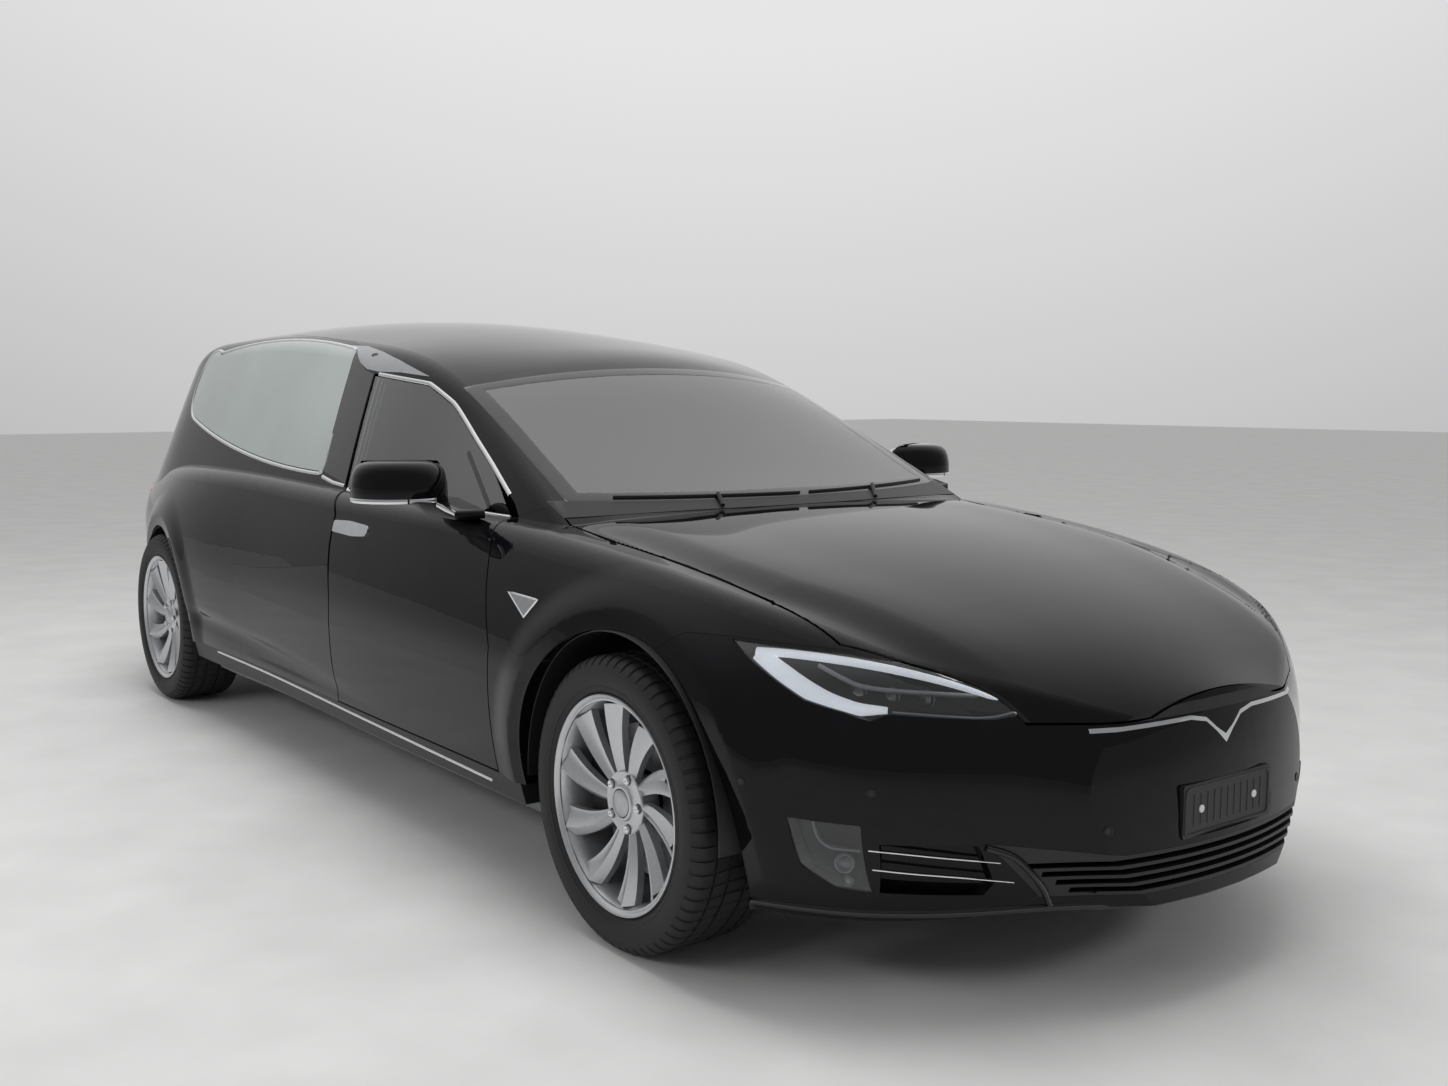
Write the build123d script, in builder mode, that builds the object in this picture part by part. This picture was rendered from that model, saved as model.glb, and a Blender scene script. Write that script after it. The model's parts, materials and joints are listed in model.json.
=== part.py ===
from build123d import *
import math
import os

os.makedirs("parts", exist_ok=True)

# Main sizes of the hearse, in mm. X points to the nose, Y to the left, Z up.
FRONT_OVERHANG = 985.0
WHEELBASE = 3460.0
REAR_OVERHANG = 1034.0
TRACK_FRONT = 1661.0
TRACK_REAR = 1699.0
FRONT_AXLE_X = (WHEELBASE + REAR_OVERHANG - FRONT_OVERHANG) / 2
REAR_AXLE_X = FRONT_AXLE_X - WHEELBASE

# Walls and gaps.
SIDE_WALL = 50.0
TOP_WALL = 42.0
FLOOR_WALL = 25.0
GLASS_THICK = 6.0
SEAM = 0.6
SHUT = 5.0
SEAT_GAP = 0.4
REACH = 1300.0
LEAST_ROUND = 12.0

# Wheels.
TYRE_RADIUS = 347.0
TYRE_HALF = 122.0
TREAD_HALF = 96.0
BEAD_RADIUS = 242.0
BEAD_HALF = 106.0
RIM_RADIUS = 257.0
RIM_WALL = 12.0
SPOKES = 10
HUB_RADIUS = 62.0
STUB_RADIUS = 26.0
STUB_GAP = 0.3
DISC_RADIUS = 178.0
DISC_THICK = 28.0
KINGPIN_INSET = 45.0
KINGPIN_RADIUS = 14.0
HUB_Z = TYRE_RADIUS

# Wheel arches: cut radius, inner end of the well and liner thickness.
ARCH_FRONT = 405.0
ARCH_REAR = 385.0
WELL_INNER = 525.0
LINER = 4.0

# Floor, deck and bulkheads.
FLOOR_TOP = 290.0
LIP_TOP = 336.0
SILL_BOTTOM = 240.0
SILL_TOP = 305.0
DECK_BOTTOM = 655.0
DECK_TOP = 700.0

# Lower body sections. d is measured forward from the front axle.
# d, z_bot, y_bot, y_max, z_max, y_sh, z_sh, z_top, r_sh
LOWER = [
    (1010, 235, 100, 165, 430, 85, 592, 632, 40),
    (900, 230, 310, 402, 440, 310, 640, 688, 60),
    (780, 220, 505, 600, 455, 495, 695, 745, 85),
    (620, 205, 700, 788, 490, 650, 755, 803, 105),
    (400, 190, 815, 905, 520, 745, 815, 860, 115),
    (100, 175, 870, 960, 555, 805, 870, 915, 115),
    (-300, 170, 893, 968, 560, 848, 915, 960, 105),
    (-700, 170, 900, 965, 560, 868, 945, 985, 90),
    (-1500, 170, 905, 965, 560, 890, 965, 1000, 80),
    (-2500, 170, 905, 968, 580, 890, 985, 1020, 80),
    (-3400, 180, 900, 966, 640, 860, 985, 1030, 110),
    (-3900, 210, 800, 885, 680, 760, 975, 1020, 120),
    (-4250, 250, 700, 790, 700, 660, 960, 1000, 100),
    (-4540, 300, 490, 590, 700, 470, 910, 940, 70),
]

# Greenhouse sections, standing on z = GREEN_BASE.
# d, y_bot, y_top, z_edge, z_centre, bulge, r_edge
GREEN_BASE = 800.0
UPPER = [
    (-380, 830, 760, 870, 935, 6, 40),
    (-540, 848, 745, 955, 1024, 8, 50),
    (-885, 878, 708, 1120, 1206, 10, 60),
    (-1230, 893, 668, 1278, 1387, 10, 70),
    (-1500, 902, 662, 1372, 1447, 10, 80),
    (-2100, 905, 657, 1452, 1530, 10, 95),
    (-2800, 900, 650, 1492, 1570, 10, 95),
    (-3500, 890, 655, 1482, 1558, 10, 95),
    (-3800, 872, 642, 1445, 1520, 10, 90),
    (-4100, 815, 605, 1248, 1328, 8, 80),
    (-4300, 750, 552, 1048, 1118, 8, 70),
    (-4450, 700, 512, 884, 925, 6, 60),
]

# Nose and tail: barrels about a vertical axis that round the ends in plan.
NOSE_RADIUS = 1165.0
NOSE_CREST_Z = 300.0
NOSE_LEAN = 40.0
NOSE_LEAN_Z = 700.0
TAIL_RADIUS = 1900.0
TAIL_CREST_Z = 560.0
TAIL_LEAN = 94.0
TAIL_LEAN_Z = 950.0
END_TOP = 1250.0
SPARE = 200.0
NOSE_BLOCK = 485.0
TAIL_BLOCK = 494.0


def station(d):
    return FRONT_AXLE_X + d


def lower_section(row, wall, roof, floor):
    d, z_bot, y_bot, y_max, z_max, y_sh, z_sh, z_top, r_sh = row
    low = (y_bot - wall, z_bot + floor)
    wide = (y_max - wall, z_max)
    shoulder = (y_sh - wall, z_sh - roof)
    with BuildSketch(Plane.YZ.offset(station(d))) as section:
        with BuildLine():
            Line((-low[0], low[1]), low)
            TangentArc(wide, low, tangent=(0, -1))
            TangentArc(wide, shoulder, tangent=(0, 1))
            ThreePointArc(shoulder, (0, z_top - roof), (-shoulder[0], shoulder[1]))
            TangentArc((-wide[0], wide[1]), (-shoulder[0], shoulder[1]), tangent=(0, 1))
            TangentArc((-wide[0], wide[1]), (-low[0], low[1]), tangent=(0, -1))
        make_face()
        fillet(section.vertices().group_by(Axis.Y)[-1], r_sh - wall / 2)
    return section.sketch


def upper_section(row, wall):
    d, y_bot, y_top, z_edge, z_centre, bulge, r_edge = row
    foot = (y_bot - wall, GREEN_BASE)
    edge = (y_top - wall, z_edge - wall)
    middle = ((foot[0] + edge[0]) / 2 + bulge, (foot[1] + edge[1]) / 2)
    with BuildSketch(Plane.YZ.offset(station(d))) as section:
        with BuildLine():
            Line((-foot[0], foot[1]), foot)
            ThreePointArc(foot, middle, edge)
            ThreePointArc(edge, (0, z_centre - wall), (-edge[0], edge[1]))
            ThreePointArc((-edge[0], edge[1]), (-middle[0], middle[1]), (-foot[0], foot[1]))
        make_face()
        fillet(section.vertices().group_by(Axis.Y)[-1], max(r_edge - wall / 2, LEAST_ROUND))
    return section.sketch


def end_cutter(direction, reach, radius, crest_z, lean, lean_z, block):
    """Block at one end of the body, less a barrel that reaches the end."""
    axis_x = FRONT_AXLE_X + direction * (reach - radius)
    with BuildPart() as cutter:
        with BuildSketch() as plan:
            with Locations((FRONT_AXLE_X + direction * (reach + SPARE - block / 2), 0)):
                Rectangle(block, 2 * REACH)
        extrude(amount=END_TOP)
        with BuildSketch(Plane.XZ) as profile:
            with BuildLine():
                Line((axis_x, 0), (axis_x + direction * radius, 0))
                Line((axis_x + direction * radius, 0), (axis_x + direction * radius, crest_z))
                arc = TangentArc(
                    (axis_x + direction * radius, crest_z),
                    (axis_x + direction * (radius - lean), lean_z),
                    tangent=(0, 1),
                )
                leaned = arc @ 1 + (arc % 1) * (END_TOP - lean_z)
                Line(arc @ 1, leaned)
                Line(leaned, (axis_x, leaned.Y))
                Line((axis_x, leaned.Y), (axis_x, 0))
            make_face()
        revolve(axis=Axis((axis_x, 0, 0), (0, 0, 1)), mode=Mode.SUBTRACT)
    return cutter.part


def nose_cutter(wall):
    reach = FRONT_OVERHANG - wall
    return end_cutter(1, reach, NOSE_RADIUS - wall, NOSE_CREST_Z, NOSE_LEAN, NOSE_LEAN_Z, NOSE_BLOCK)


def tail_cutter(wall):
    reach = WHEELBASE + REAR_OVERHANG - wall
    return end_cutter(-1, reach, TAIL_RADIUS - wall, TAIL_CREST_Z, TAIL_LEAN, TAIL_LEAN_Z, TAIL_BLOCK)


def lower_body(wall, roof, floor):
    sections = [lower_section(row, wall, roof, floor) for row in LOWER]
    with BuildPart() as body:
        loft(sections)
        add(nose_cutter(wall), mode=Mode.SUBTRACT)
        add(tail_cutter(wall), mode=Mode.SUBTRACT)
    return body.part


def upper_body(wall):
    sections = [upper_section(row, wall) for row in UPPER]
    with BuildPart() as body:
        loft(sections)
        add(tail_cutter(wall), mode=Mode.SUBTRACT)
    return body.part


def side_zone(points, grow=0.0):
    """Prism through the right half over a side-view outline of (d, z) points."""
    with BuildPart() as zone:
        with BuildSketch(Plane.XZ) as outline:
            with BuildLine():
                Polyline([(station(d), z) for d, z in points], close=True)
            make_face()
            if grow:
                offset(amount=grow, kind=Kind.INTERSECTION)
        extrude(amount=REACH)
    return zone.part


def both_sides(zone):
    with BuildPart() as pair:
        add(zone)
        mirror(zone, about=Plane.XZ)
    return pair.part


# Whole body, its hollow, and the thin skin that the glass is cut from.
body_low = lower_body(0, 0, 0)
body_high = upper_body(0)
hollow_low = lower_body(SIDE_WALL, TOP_WALL, FLOOR_WALL)
hollow_high = upper_body(TOP_WALL)
clear_low = lower_body(SIDE_WALL + SEAT_GAP, TOP_WALL + SEAT_GAP, FLOOR_WALL + SEAT_GAP)

with BuildPart() as wells:
    for axle_x, radius in ((FRONT_AXLE_X, ARCH_FRONT), (REAR_AXLE_X, ARCH_REAR)):
        with BuildSketch(Plane.XZ.offset(WELL_INNER)) as ring:
            with Locations((axle_x, HUB_Z)):
                Circle(radius)
        extrude(amount=REACH - WELL_INNER)
    mirror(about=Plane.XZ)

with BuildPart() as outer:
    add(body_low)
    add(body_high)

with BuildPart() as hollow:
    add(hollow_low)
    add(hollow_high)

with BuildPart() as shell:
    add(outer.part)
    add(hollow.part, mode=Mode.SUBTRACT)
    add(wells.part, mode=Mode.SUBTRACT)

with BuildPart() as right_shell:
    add(shell.part)
    with BuildSketch(Plane.XZ) as half:
        Rectangle(2 * (WHEELBASE + REAR_OVERHANG), 4 * REACH)
    extrude(amount=REACH, mode=Mode.INTERSECT)

with BuildPart() as glass_skin:
    add(body_high)
    add(upper_body(GLASS_THICK), mode=Mode.SUBTRACT)


# Side-view outlines of the panels, as (d, z) points.
DOOR_FRONT = [(-550, SILL_TOP), (-550, 640), (-618, 800), (-655, 890), (-705, 957)]
DOOR = DOOR_FRONT + [(-1738, 983), (-1660, 900), (-1656, 805), (-1620, 640), (-1616, SILL_TOP)]
FENDER_SEAM = [(560, 764), (322, 774), (213, 768), (145, 732), (100, 690)]
FENDER = DOOR_FRONT + [(-560, 1000), (-420, 1030), (560, 1030)] + FENDER_SEAM + [(100, SILL_TOP)]
BUMPER = [(1100, 120), (1100, 900), (560, 900)] + FENDER_SEAM + [(100, 120)]
BLANK_TOP = [(-2525, 665), (-2333, 669), (-2105, 688), (-1650, 745)]
BLANK = [(-2530, SILL_TOP), (-2536, 377), (-2520, 530)] + BLANK_TOP + [(-1622, 640), (-1618, SILL_TOP)]
B_PILLAR = [(-1650, 745), (-1664, 805), (-1668, 900), (-1752, 985), (-1828, 1351)]
CANT_FRONT = [(-705, 957), (-742, 985), (-909, 1072), (-1079, 1156), (-1269, 1256), (-1443, 1316), (-1828, 1351)]
CANT_REAR = [(-2050, 1443), (-2153, 1463), (-2500, 1491), (-2850, 1509), (-3300, 1501), (-3755, 1446)]
REAR_SEAM = [(-4700, 655), (-4050, 655), (-3850, 600), (-3700, 560)]
SIDE = (
    B_PILLAR
    + CANT_REAR
    + [(-3755, 1700), (-4700, 1700)]
    + REAR_SEAM
    + [(-3050, 430), (-3050, SILL_TOP), (-2530, SILL_TOP), (-2536, 377), (-2520, 530)]
    + BLANK_TOP[:-1]
)
ROOF = CANT_FRONT + CANT_REAR + [(-3755, 1800), (-400, 1800), (-400, 1012), (-560, 1000)]
REAR_BUMPER = [(-4700, 150)] + REAR_SEAM + [(-3700, 150)]
SILL = [(-440, SILL_BOTTOM), (-440, SILL_TOP), (-3055, SILL_TOP), (-3055, SILL_BOTTOM)]
HEADLAMP = [
    (322, 768), (545, 757), (636, 743), (690, 725), (764, 692), (836, 657), (812, 643),
    (790, 636), (662, 648), (640, 634), (593, 650), (519, 669), (458, 698), (390, 731),
]
FOG_LAMP = [(518, 429), (646, 424), (640, 276), (583, 282), (530, 326)]
DOOR_GLASS = [
    (-735, 953.5), (-909, 1064), (-1079, 1148), (-1269, 1248), (-1443, 1308), (-1814, 1341), (-1731, 978.5),
]
CASKET_GLASS_FRONT = [(-1973, 1022), (-2055, 1430)]
CASKET_GLASS_TOP = (-2640, 1480)
CASKET_GLASS_REAR = [(-3458, 1440), (-3655, 1275), (-3560, 1184)]
CASKET_GLASS_LOW = (-2853, 1072)

# Hood, windshield and tailgate.
HOOD_REAR = (-430, -548, 735)
HOOD_SIDE = [(-300, 745), (270, 723), (525, 716), (640, 640), (764, 528), (838, 462), (908, 385)]
HOOD_NOSE = 952
HOOD_LOW = 500.0
HOOD_HIGH = 1200.0
HOOD_UNDER = [(1100, 630), (900, 618), (600, 640), (-640, 820), (-640, 1200), (1100, 1200)]
GLASS_BASE = (-470, -612, 690)
GLASS_HEAD = (-1175, -1282, 648)
SCREEN_LOW = 850.0
COWL = (-660, -400, 735, 900, 1000)
GATE_HALF = 545.0
GATE_LOW = 655.0
GATE_FRONT = -3760.0
GATE_GLASS_HALF = 470.0
GATE_GLASS_LOW = 1040.0
GATE_GLASS_HIGH = 1430.0
GATE_GLASS_TAPER = 20.0
GATE_GLASS_D = -3830.0
TAIL_END = -4800.0
NOSE_END = 1100.0
SKY = 1900.0
GROUND = 100.0


def plan_zone(points, low, high, grow=0.0):
    """Prism along Z over a plan outline of (start, middle, end) runs; a run with no middle is straight."""
    with BuildPart() as zone:
        with BuildSketch(Plane.XY.offset(low)) as outline:
            with BuildLine():
                for start, middle, end in points:
                    if middle is None:
                        Line(start, end)
                    else:
                        ThreePointArc(start, middle, end)
            make_face()
            if grow:
                offset(amount=grow, kind=Kind.INTERSECTION)
        extrude(amount=high - low)
    return zone.part


def mirrored(point):
    return (point[0], -point[1])


def hood_outline():
    rear_mid, rear_end, rear_half = HOOD_REAR
    right = [(station(d), -y) for d, y in HOOD_SIDE]
    corner = (station(rear_end), -rear_half)
    chain = [corner] + right
    runs = [(a, None, b) for a, b in zip(chain, chain[1:])]
    runs.append((right[-1], (station(HOOD_NOSE), 0), mirrored(right[-1])))
    runs += [(mirrored(b), None, mirrored(a)) for a, b in reversed(list(zip(chain, chain[1:])))]
    runs.append((mirrored(corner), (station(rear_mid), 0), corner))
    return runs


def windshield_outline():
    base_mid, base_end, base_half = GLASS_BASE
    head_mid, head_end, head_half = GLASS_HEAD
    base = (station(base_end), -base_half)
    head = (station(head_end), -head_half)
    return [
        (base, (station(base_mid), 0), mirrored(base)),
        (mirrored(base), None, mirrored(head)),
        (mirrored(head), (station(head_mid), 0), head),
        (head, None, base),
    ]


def box_zone(d_low, d_high, half, low, high):
    with BuildPart() as zone:
        with BuildSketch(Plane.XY.offset(low)) as plan:
            with Locations((station((d_low + d_high) / 2), 0)):
                Rectangle(d_high - d_low, 2 * half)
        extrude(amount=high - low)
    return zone.part


def front_zone(points, d_low, d_high, grow=0.0):
    """Prism along X over a front-view outline of (y, z) points."""
    with BuildPart() as zone:
        with BuildSketch(Plane.YZ.offset(station(d_low))) as outline:
            with BuildLine():
                Polyline(points, close=True)
            make_face()
            if grow:
                offset(amount=grow, kind=Kind.INTERSECTION)
        extrude(amount=d_high - d_low)
    return zone.part


def casket_zone(grow=0.0):
    front_low, front_high = [(station(d), z) for d, z in CASKET_GLASS_FRONT]
    rear_high, rear_mid, rear_low = [(station(d), z) for d, z in CASKET_GLASS_REAR]
    with BuildPart() as zone:
        with BuildSketch(Plane.XZ) as outline:
            with BuildLine():
                Line(front_low, front_high)
                ThreePointArc(front_high, (station(CASKET_GLASS_TOP[0]), CASKET_GLASS_TOP[1]), rear_high)
                ThreePointArc(rear_high, rear_mid, rear_low)
                ThreePointArc(rear_low, (station(CASKET_GLASS_LOW[0]), CASKET_GLASS_LOW[1]), front_low)
            make_face()
            if grow:
                offset(amount=grow, kind=Kind.INTERSECTION)
        extrude(amount=REACH)
    return zone.part


def piece(source, keep, cuts=()):
    """One panel: the part of source inside every zone of keep and outside every zone of cuts."""
    with BuildPart() as panel:
        add(source)
        for zone in keep:
            add(zone, mode=Mode.INTERSECT)
        for zone in cuts:
            add(zone, mode=Mode.SUBTRACT)
    return panel.part


def save(shape, name):
    shape.label = name
    export_step(shape, f"parts/{name}.step")


def save_pair(right, name):
    with BuildPart() as pair:
        add(right)
        mirror(right, about=Plane.XZ)
    save(pair.part, name)


def save_sides(right, name):
    with BuildPart() as left:
        mirror(right, about=Plane.XZ)
    save(left.part, name + "_left")
    save(right, name + "_right")


CLOSE = SHUT - SEAM / 2
FIT = SEAM / 2

hood_zone = piece(plan_zone(hood_outline(), HOOD_LOW, HOOD_HIGH), [both_sides(side_zone(HOOD_UNDER))])
lamp_zone = side_zone(HEADLAMP, FIT)
fog_zone = side_zone(FOG_LAMP, FIT)
screen_zone = plan_zone(windshield_outline(), SCREEN_LOW, SKY, FIT)
cowl_zone = box_zone(COWL[0], COWL[1], COWL[2], COWL[3], COWL[4])
gate_zone = box_zone(TAIL_END, GATE_FRONT, GATE_HALF, GATE_LOW, SKY)
GATE_GLASS = [
    (-GATE_GLASS_HALF, GATE_GLASS_LOW), (GATE_GLASS_HALF, GATE_GLASS_LOW),
    (GATE_GLASS_HALF - GATE_GLASS_TAPER, GATE_GLASS_HIGH), (GATE_GLASS_TAPER - GATE_GLASS_HALF, GATE_GLASS_HIGH),
]
gate_glass_zone = front_zone(GATE_GLASS, TAIL_END, GATE_GLASS_D, FIT)
TAIL_LAMP = [(-850, 800), (-850, 930), (-500, 930), (-500, 800)]
TAIL_LAMP_D = -4080.0
tail_lamp_zone = front_zone(TAIL_LAMP, TAIL_END, TAIL_LAMP_D, FIT)

# Hood: lifts at the nose about hinges at its rear corners.
hood_lid = plan_zone(hood_outline(), HOOD_LOW, HOOD_HIGH, -SHUT)
save(piece(shell.part, [hood_lid, both_sides(side_zone(HOOD_UNDER, -SHUT))]), "hood")

# Front fenders.
fender = piece(right_shell.part, [side_zone(FENDER, -FIT)], [hood_zone, cowl_zone, lamp_zone, screen_zone])
save_pair(fender.solids().sort_by(SortBy.VOLUME)[-1], "fenders")

# Front bumper with its lamp, intake and plate openings.
INTAKE = [(-560, 388), (-300, 350), (300, 350), (560, 388), (440, 262), (-440, 262)]
STRIP_RIGHT = [(-360, 603), (-110, 609), (-62, 600), (-28, 574), (0, 548)]
STRIP_TALL = 9.0
INTAKE_D = 700.0
STRIP_D = 850.0
PLATE_HALF = 157.0
PLATE_Z = 420.0
PLATE_TALL = 114.0
PLATE_BACK = 948.0
PLATE_FACE = 978.0


def strip_outline(grow=0.0):
    """Front-view outline of the nose strip, a thin band that dips to a point in the middle."""
    low = [(y, z - grow) for y, z in STRIP_RIGHT]
    high = [(y, z + STRIP_TALL + grow) for y, z in STRIP_RIGHT[:-1]]
    high.append((STRIP_RIGHT[-1][0], STRIP_RIGHT[-1][1] + 2 * STRIP_TALL + grow))
    low[0] = (low[0][0] - grow, low[0][1])
    high[0] = (high[0][0] - grow, high[0][1])
    left_low = [(-y, z) for y, z in reversed(low[:-1])]
    left_high = [(-y, z) for y, z in high[:-1]]
    return low + left_low + left_high + list(reversed(high))


intake_zone = front_zone(INTAKE, INTAKE_D, NOSE_END, FIT)
strip_zone = front_zone(strip_outline(FIT), STRIP_D, NOSE_END)
plate_half_tall = PLATE_TALL / 2 + SEAT_GAP
plate_zone = box_zone(
    PLATE_BACK - SEAT_GAP, NOSE_END, PLATE_HALF + SEAT_GAP, PLATE_Z - plate_half_tall, PLATE_Z + plate_half_tall
)
SIDE_INTAKE = [(-712, 276), (-732, 386), (-574, 384), (-532, 300), (-545, 272)]
POCKET_DEEP = 25.0
POCKET_D = 500.0
pocket_floor = lower_body(POCKET_DEEP, POCKET_DEEP, POCKET_DEEP)
side_pockets = both_sides(piece(front_zone(SIDE_INTAKE, POCKET_D, NOSE_END), [], [pocket_floor]))
bumper_cuts = [
    hood_zone, both_sides(lamp_zone), both_sides(fog_zone), intake_zone, strip_zone, plate_zone, side_pockets,
]
save(piece(shell.part, [both_sides(side_zone(BUMPER, -FIT))], bumper_cuts), "front_bumper")

save_pair(piece(right_shell.part, [side_zone(HEADLAMP)], [hood_zone]), "headlamps")
save_pair(piece(right_shell.part, [side_zone(FOG_LAMP)]), "fog_lamps")
save(piece(shell.part, [front_zone(strip_outline(), STRIP_D, NOSE_END)], [hood_zone]), "nose_strip")

SLATS = 4
SLOT_MID = 900.0
SLOT_LONG = 600.0
SLOT_WIDE = 780.0
SLOT_GROWS = 60.0
slat_pitch = (INTAKE[1][1] - INTAKE[-1][1]) / (SLATS + 0.5)
with BuildPart() as slots:
    for index in range(SLATS):
        slot_z = INTAKE[-1][1] + slat_pitch * (index + 0.75)
        with BuildSketch(Plane.XY.offset(slot_z - slat_pitch * 0.3)) as slot_plan:
            with Locations((station(SLOT_MID), 0)):
                Rectangle(SLOT_LONG, SLOT_WIDE + SLOT_GROWS * index)
        extrude(amount=slat_pitch * 0.6)
save(piece(shell.part, [front_zone(INTAKE, INTAKE_D, NOSE_END)], [slots.part]), "lower_grille")

PLATE_HOLE = 3.5
PLATE_CORNER = 8.0
PLATE_PITCH = 190.0
with BuildPart() as plate_holder:
    with BuildSketch(Plane.YZ.offset(station(PLATE_BACK))) as plate_face:
        with Locations((0, PLATE_Z)):
            RectangleRounded(2 * PLATE_HALF, PLATE_TALL, PLATE_CORNER)
            with GridLocations(PLATE_PITCH, 0, 2, 1):
                Circle(PLATE_HOLE, mode=Mode.SUBTRACT)
    extrude(amount=PLATE_FACE - PLATE_BACK)
save(plate_holder.part, "plate_holder")

# Cowl, windshield, roof and sides.
save(piece(shell.part, [cowl_zone], [hood_zone, screen_zone]), "cowl")
screen = piece(glass_skin.part, [plan_zone(windshield_outline(), SCREEN_LOW, SKY)], [body_low])
save(screen, "windshield")
save(piece(shell.part, [both_sides(side_zone(ROOF, -FIT))], [screen_zone, cowl_zone, gate_zone]), "roof")
casket_glass = piece(glass_skin.part, [casket_zone()])
save_pair(casket_glass, "side_windows")
side = piece(right_shell.part, [side_zone(SIDE, -FIT)], [casket_zone(FIT), gate_zone, tail_lamp_zone])
save_sides(side, "body_side")
save_pair(piece(right_shell.part, [side_zone(BLANK, -FIT)]), "rear_door_panels")
save_pair(piece(right_shell.part, [side_zone(SILL, -FIT)]), "sills")
save(piece(shell.part, [both_sides(side_zone(REAR_BUMPER, -FIT))]), "rear_bumper")
save_pair(piece(right_shell.part, [front_zone(TAIL_LAMP, TAIL_END, TAIL_LAMP_D - FIT)], [gate_zone]), "tail_lamps")

# Tailgate and its window.
gate_body = box_zone(TAIL_END, GATE_FRONT - SHUT, GATE_HALF - SHUT, GATE_LOW + SHUT, SKY)
save(piece(shell.part, [gate_body], [gate_glass_zone]), "tailgate")
save(piece(glass_skin.part, [front_zone(GATE_GLASS, TAIL_END, GATE_GLASS_D)]), "tailgate_window")

# Doors, their frameless windows and mirrors.
save_sides(piece(right_shell.part, [side_zone(DOOR, -CLOSE)]), "door")
save_sides(piece(glass_skin.part, [side_zone(DOOR_GLASS)]), "door_window")

MIRROR_INNER = (-990.0, 850.0)
MIRROR_OUTER = (-1120.0, 1075.0)
MIRROR_FRONT = (-866.0, 962.0)
MIRROR_Z = 1046.0
MIRROR_TALL = 116.0
MIRROR_CORNER = 34.0
MIRROR_ROUND = 34.0
MIRROR_TAPER = 9.0
ARM_INNER = 845.0
ARM_OUTER = 940.0
ARM_SIDE = [(-765, 946), (-960, 946), (-1060, 972), (-1060, 1000), (-940, 1000), (-765, 974)]
with BuildPart() as mirror_right:
    with BuildSketch(Plane.XY.offset(MIRROR_Z - MIRROR_TALL / 2)) as mirror_plan:
        inner, front, outer_end = [(station(d), -y) for d, y in (MIRROR_INNER, MIRROR_FRONT, MIRROR_OUTER)]
        with BuildLine():
            ThreePointArc(inner, front, outer_end)
            Line(outer_end, inner)
        make_face()
        fillet(mirror_plan.vertices(), MIRROR_CORNER)
    extrude(amount=MIRROR_TALL, taper=MIRROR_TAPER)
    fillet(mirror_right.edges().group_by(Axis.Z)[-1], MIRROR_ROUND)
    with BuildSketch(Plane.XZ.offset(ARM_INNER)) as arm_side:
        with BuildLine():
            Polyline([(station(d), z) for d, z in ARM_SIDE], close=True)
        make_face()
    extrude(amount=ARM_OUTER - ARM_INNER)
    add(shell.part, mode=Mode.SUBTRACT)
save_sides(mirror_right.part.solids().sort_by(SortBy.VOLUME)[-1], "mirror")


# Floor tub: battery slab with raised lips that the side panels and doors close against.
TUB_FRONT = -470.0
TUB_REAR = -2995.0
LIP_INNER = 835.0
tub_cut = box_zone(TUB_REAR - SPARE, TUB_FRONT + SPARE, LIP_INNER, FLOOR_TOP, DECK_BOTTOM)
PAD_RADIUS = 35.0
PAD_BOTTOM = 178.0
PAD_TOP = 250.0
PAD_D = (-640.0, -2860.0)
PAD_Y = 760.0
with BuildPart() as battery_floor:
    add(piece(clear_low, [box_zone(TUB_REAR, TUB_FRONT, REACH, GROUND, LIP_TOP)], [tub_cut]))
    with BuildSketch(Plane.XY.offset(PAD_BOTTOM)) as pads:
        with Locations((station((PAD_D[0] + PAD_D[1]) / 2), 0)):
            with GridLocations(PAD_D[0] - PAD_D[1], 2 * PAD_Y, 2, 2):
                Circle(PAD_RADIUS)
    extrude(amount=PAD_TOP - PAD_BOTTOM)
save(battery_floor.part, "battery_floor")

# Bulkheads: the firewall ahead of the cabin and the slam panel behind the nose.
FIREWALL = (-455.0, -415.0)
SLAM = (690.0, 720.0)
SLAM_HOLE_HALF = 330.0
SLAM_HOLE_Z = (300.0, 560.0)
firewall = piece(clear_low, [box_zone(FIREWALL[0], FIREWALL[1], REACH, GROUND, SKY)], [body_high])
slam_hole = box_zone(SLAM[0] - SHUT, SLAM[1] + SHUT, SLAM_HOLE_HALF, SLAM_HOLE_Z[0], SLAM_HOLE_Z[1])
slam = piece(clear_low, [box_zone(SLAM[0], SLAM[1], REACH, GROUND, SKY)], [slam_hole])
with BuildPart() as bulkheads:
    add(firewall)
    add(slam)
save(bulkheads.part, "bulkheads")

# Casket deck between the partition and the tailgate, clear of the wheel wells.
PARTITION_D = -1835.0
PARTITION_THICK = 30.0
PARTITION_HALF = 830.0
PARTITION_BELT = 860.0
PARTITION_TOP = (620.0, 1320.0)
WINDOW = (900.0, 320.0, 60.0)
WINDOW_Z = 1080.0
DECK_CLEAR = 12.0
with BuildPart() as deck_wells:
    with BuildSketch(Plane.XZ.offset(WELL_INNER - DECK_CLEAR)) as deck_ring:
        with Locations((REAR_AXLE_X, HUB_Z)):
            Circle(ARCH_REAR + DECK_CLEAR)
    extrude(amount=REACH - WELL_INNER)
    mirror(about=Plane.XZ)
deck_end = PARTITION_D - PARTITION_THICK - SEAT_GAP
deck_zone = box_zone(TAIL_END, deck_end, REACH, DECK_BOTTOM, DECK_TOP)
save(piece(clear_low, [deck_zone], [deck_wells.part]), "casket_deck")

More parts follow.
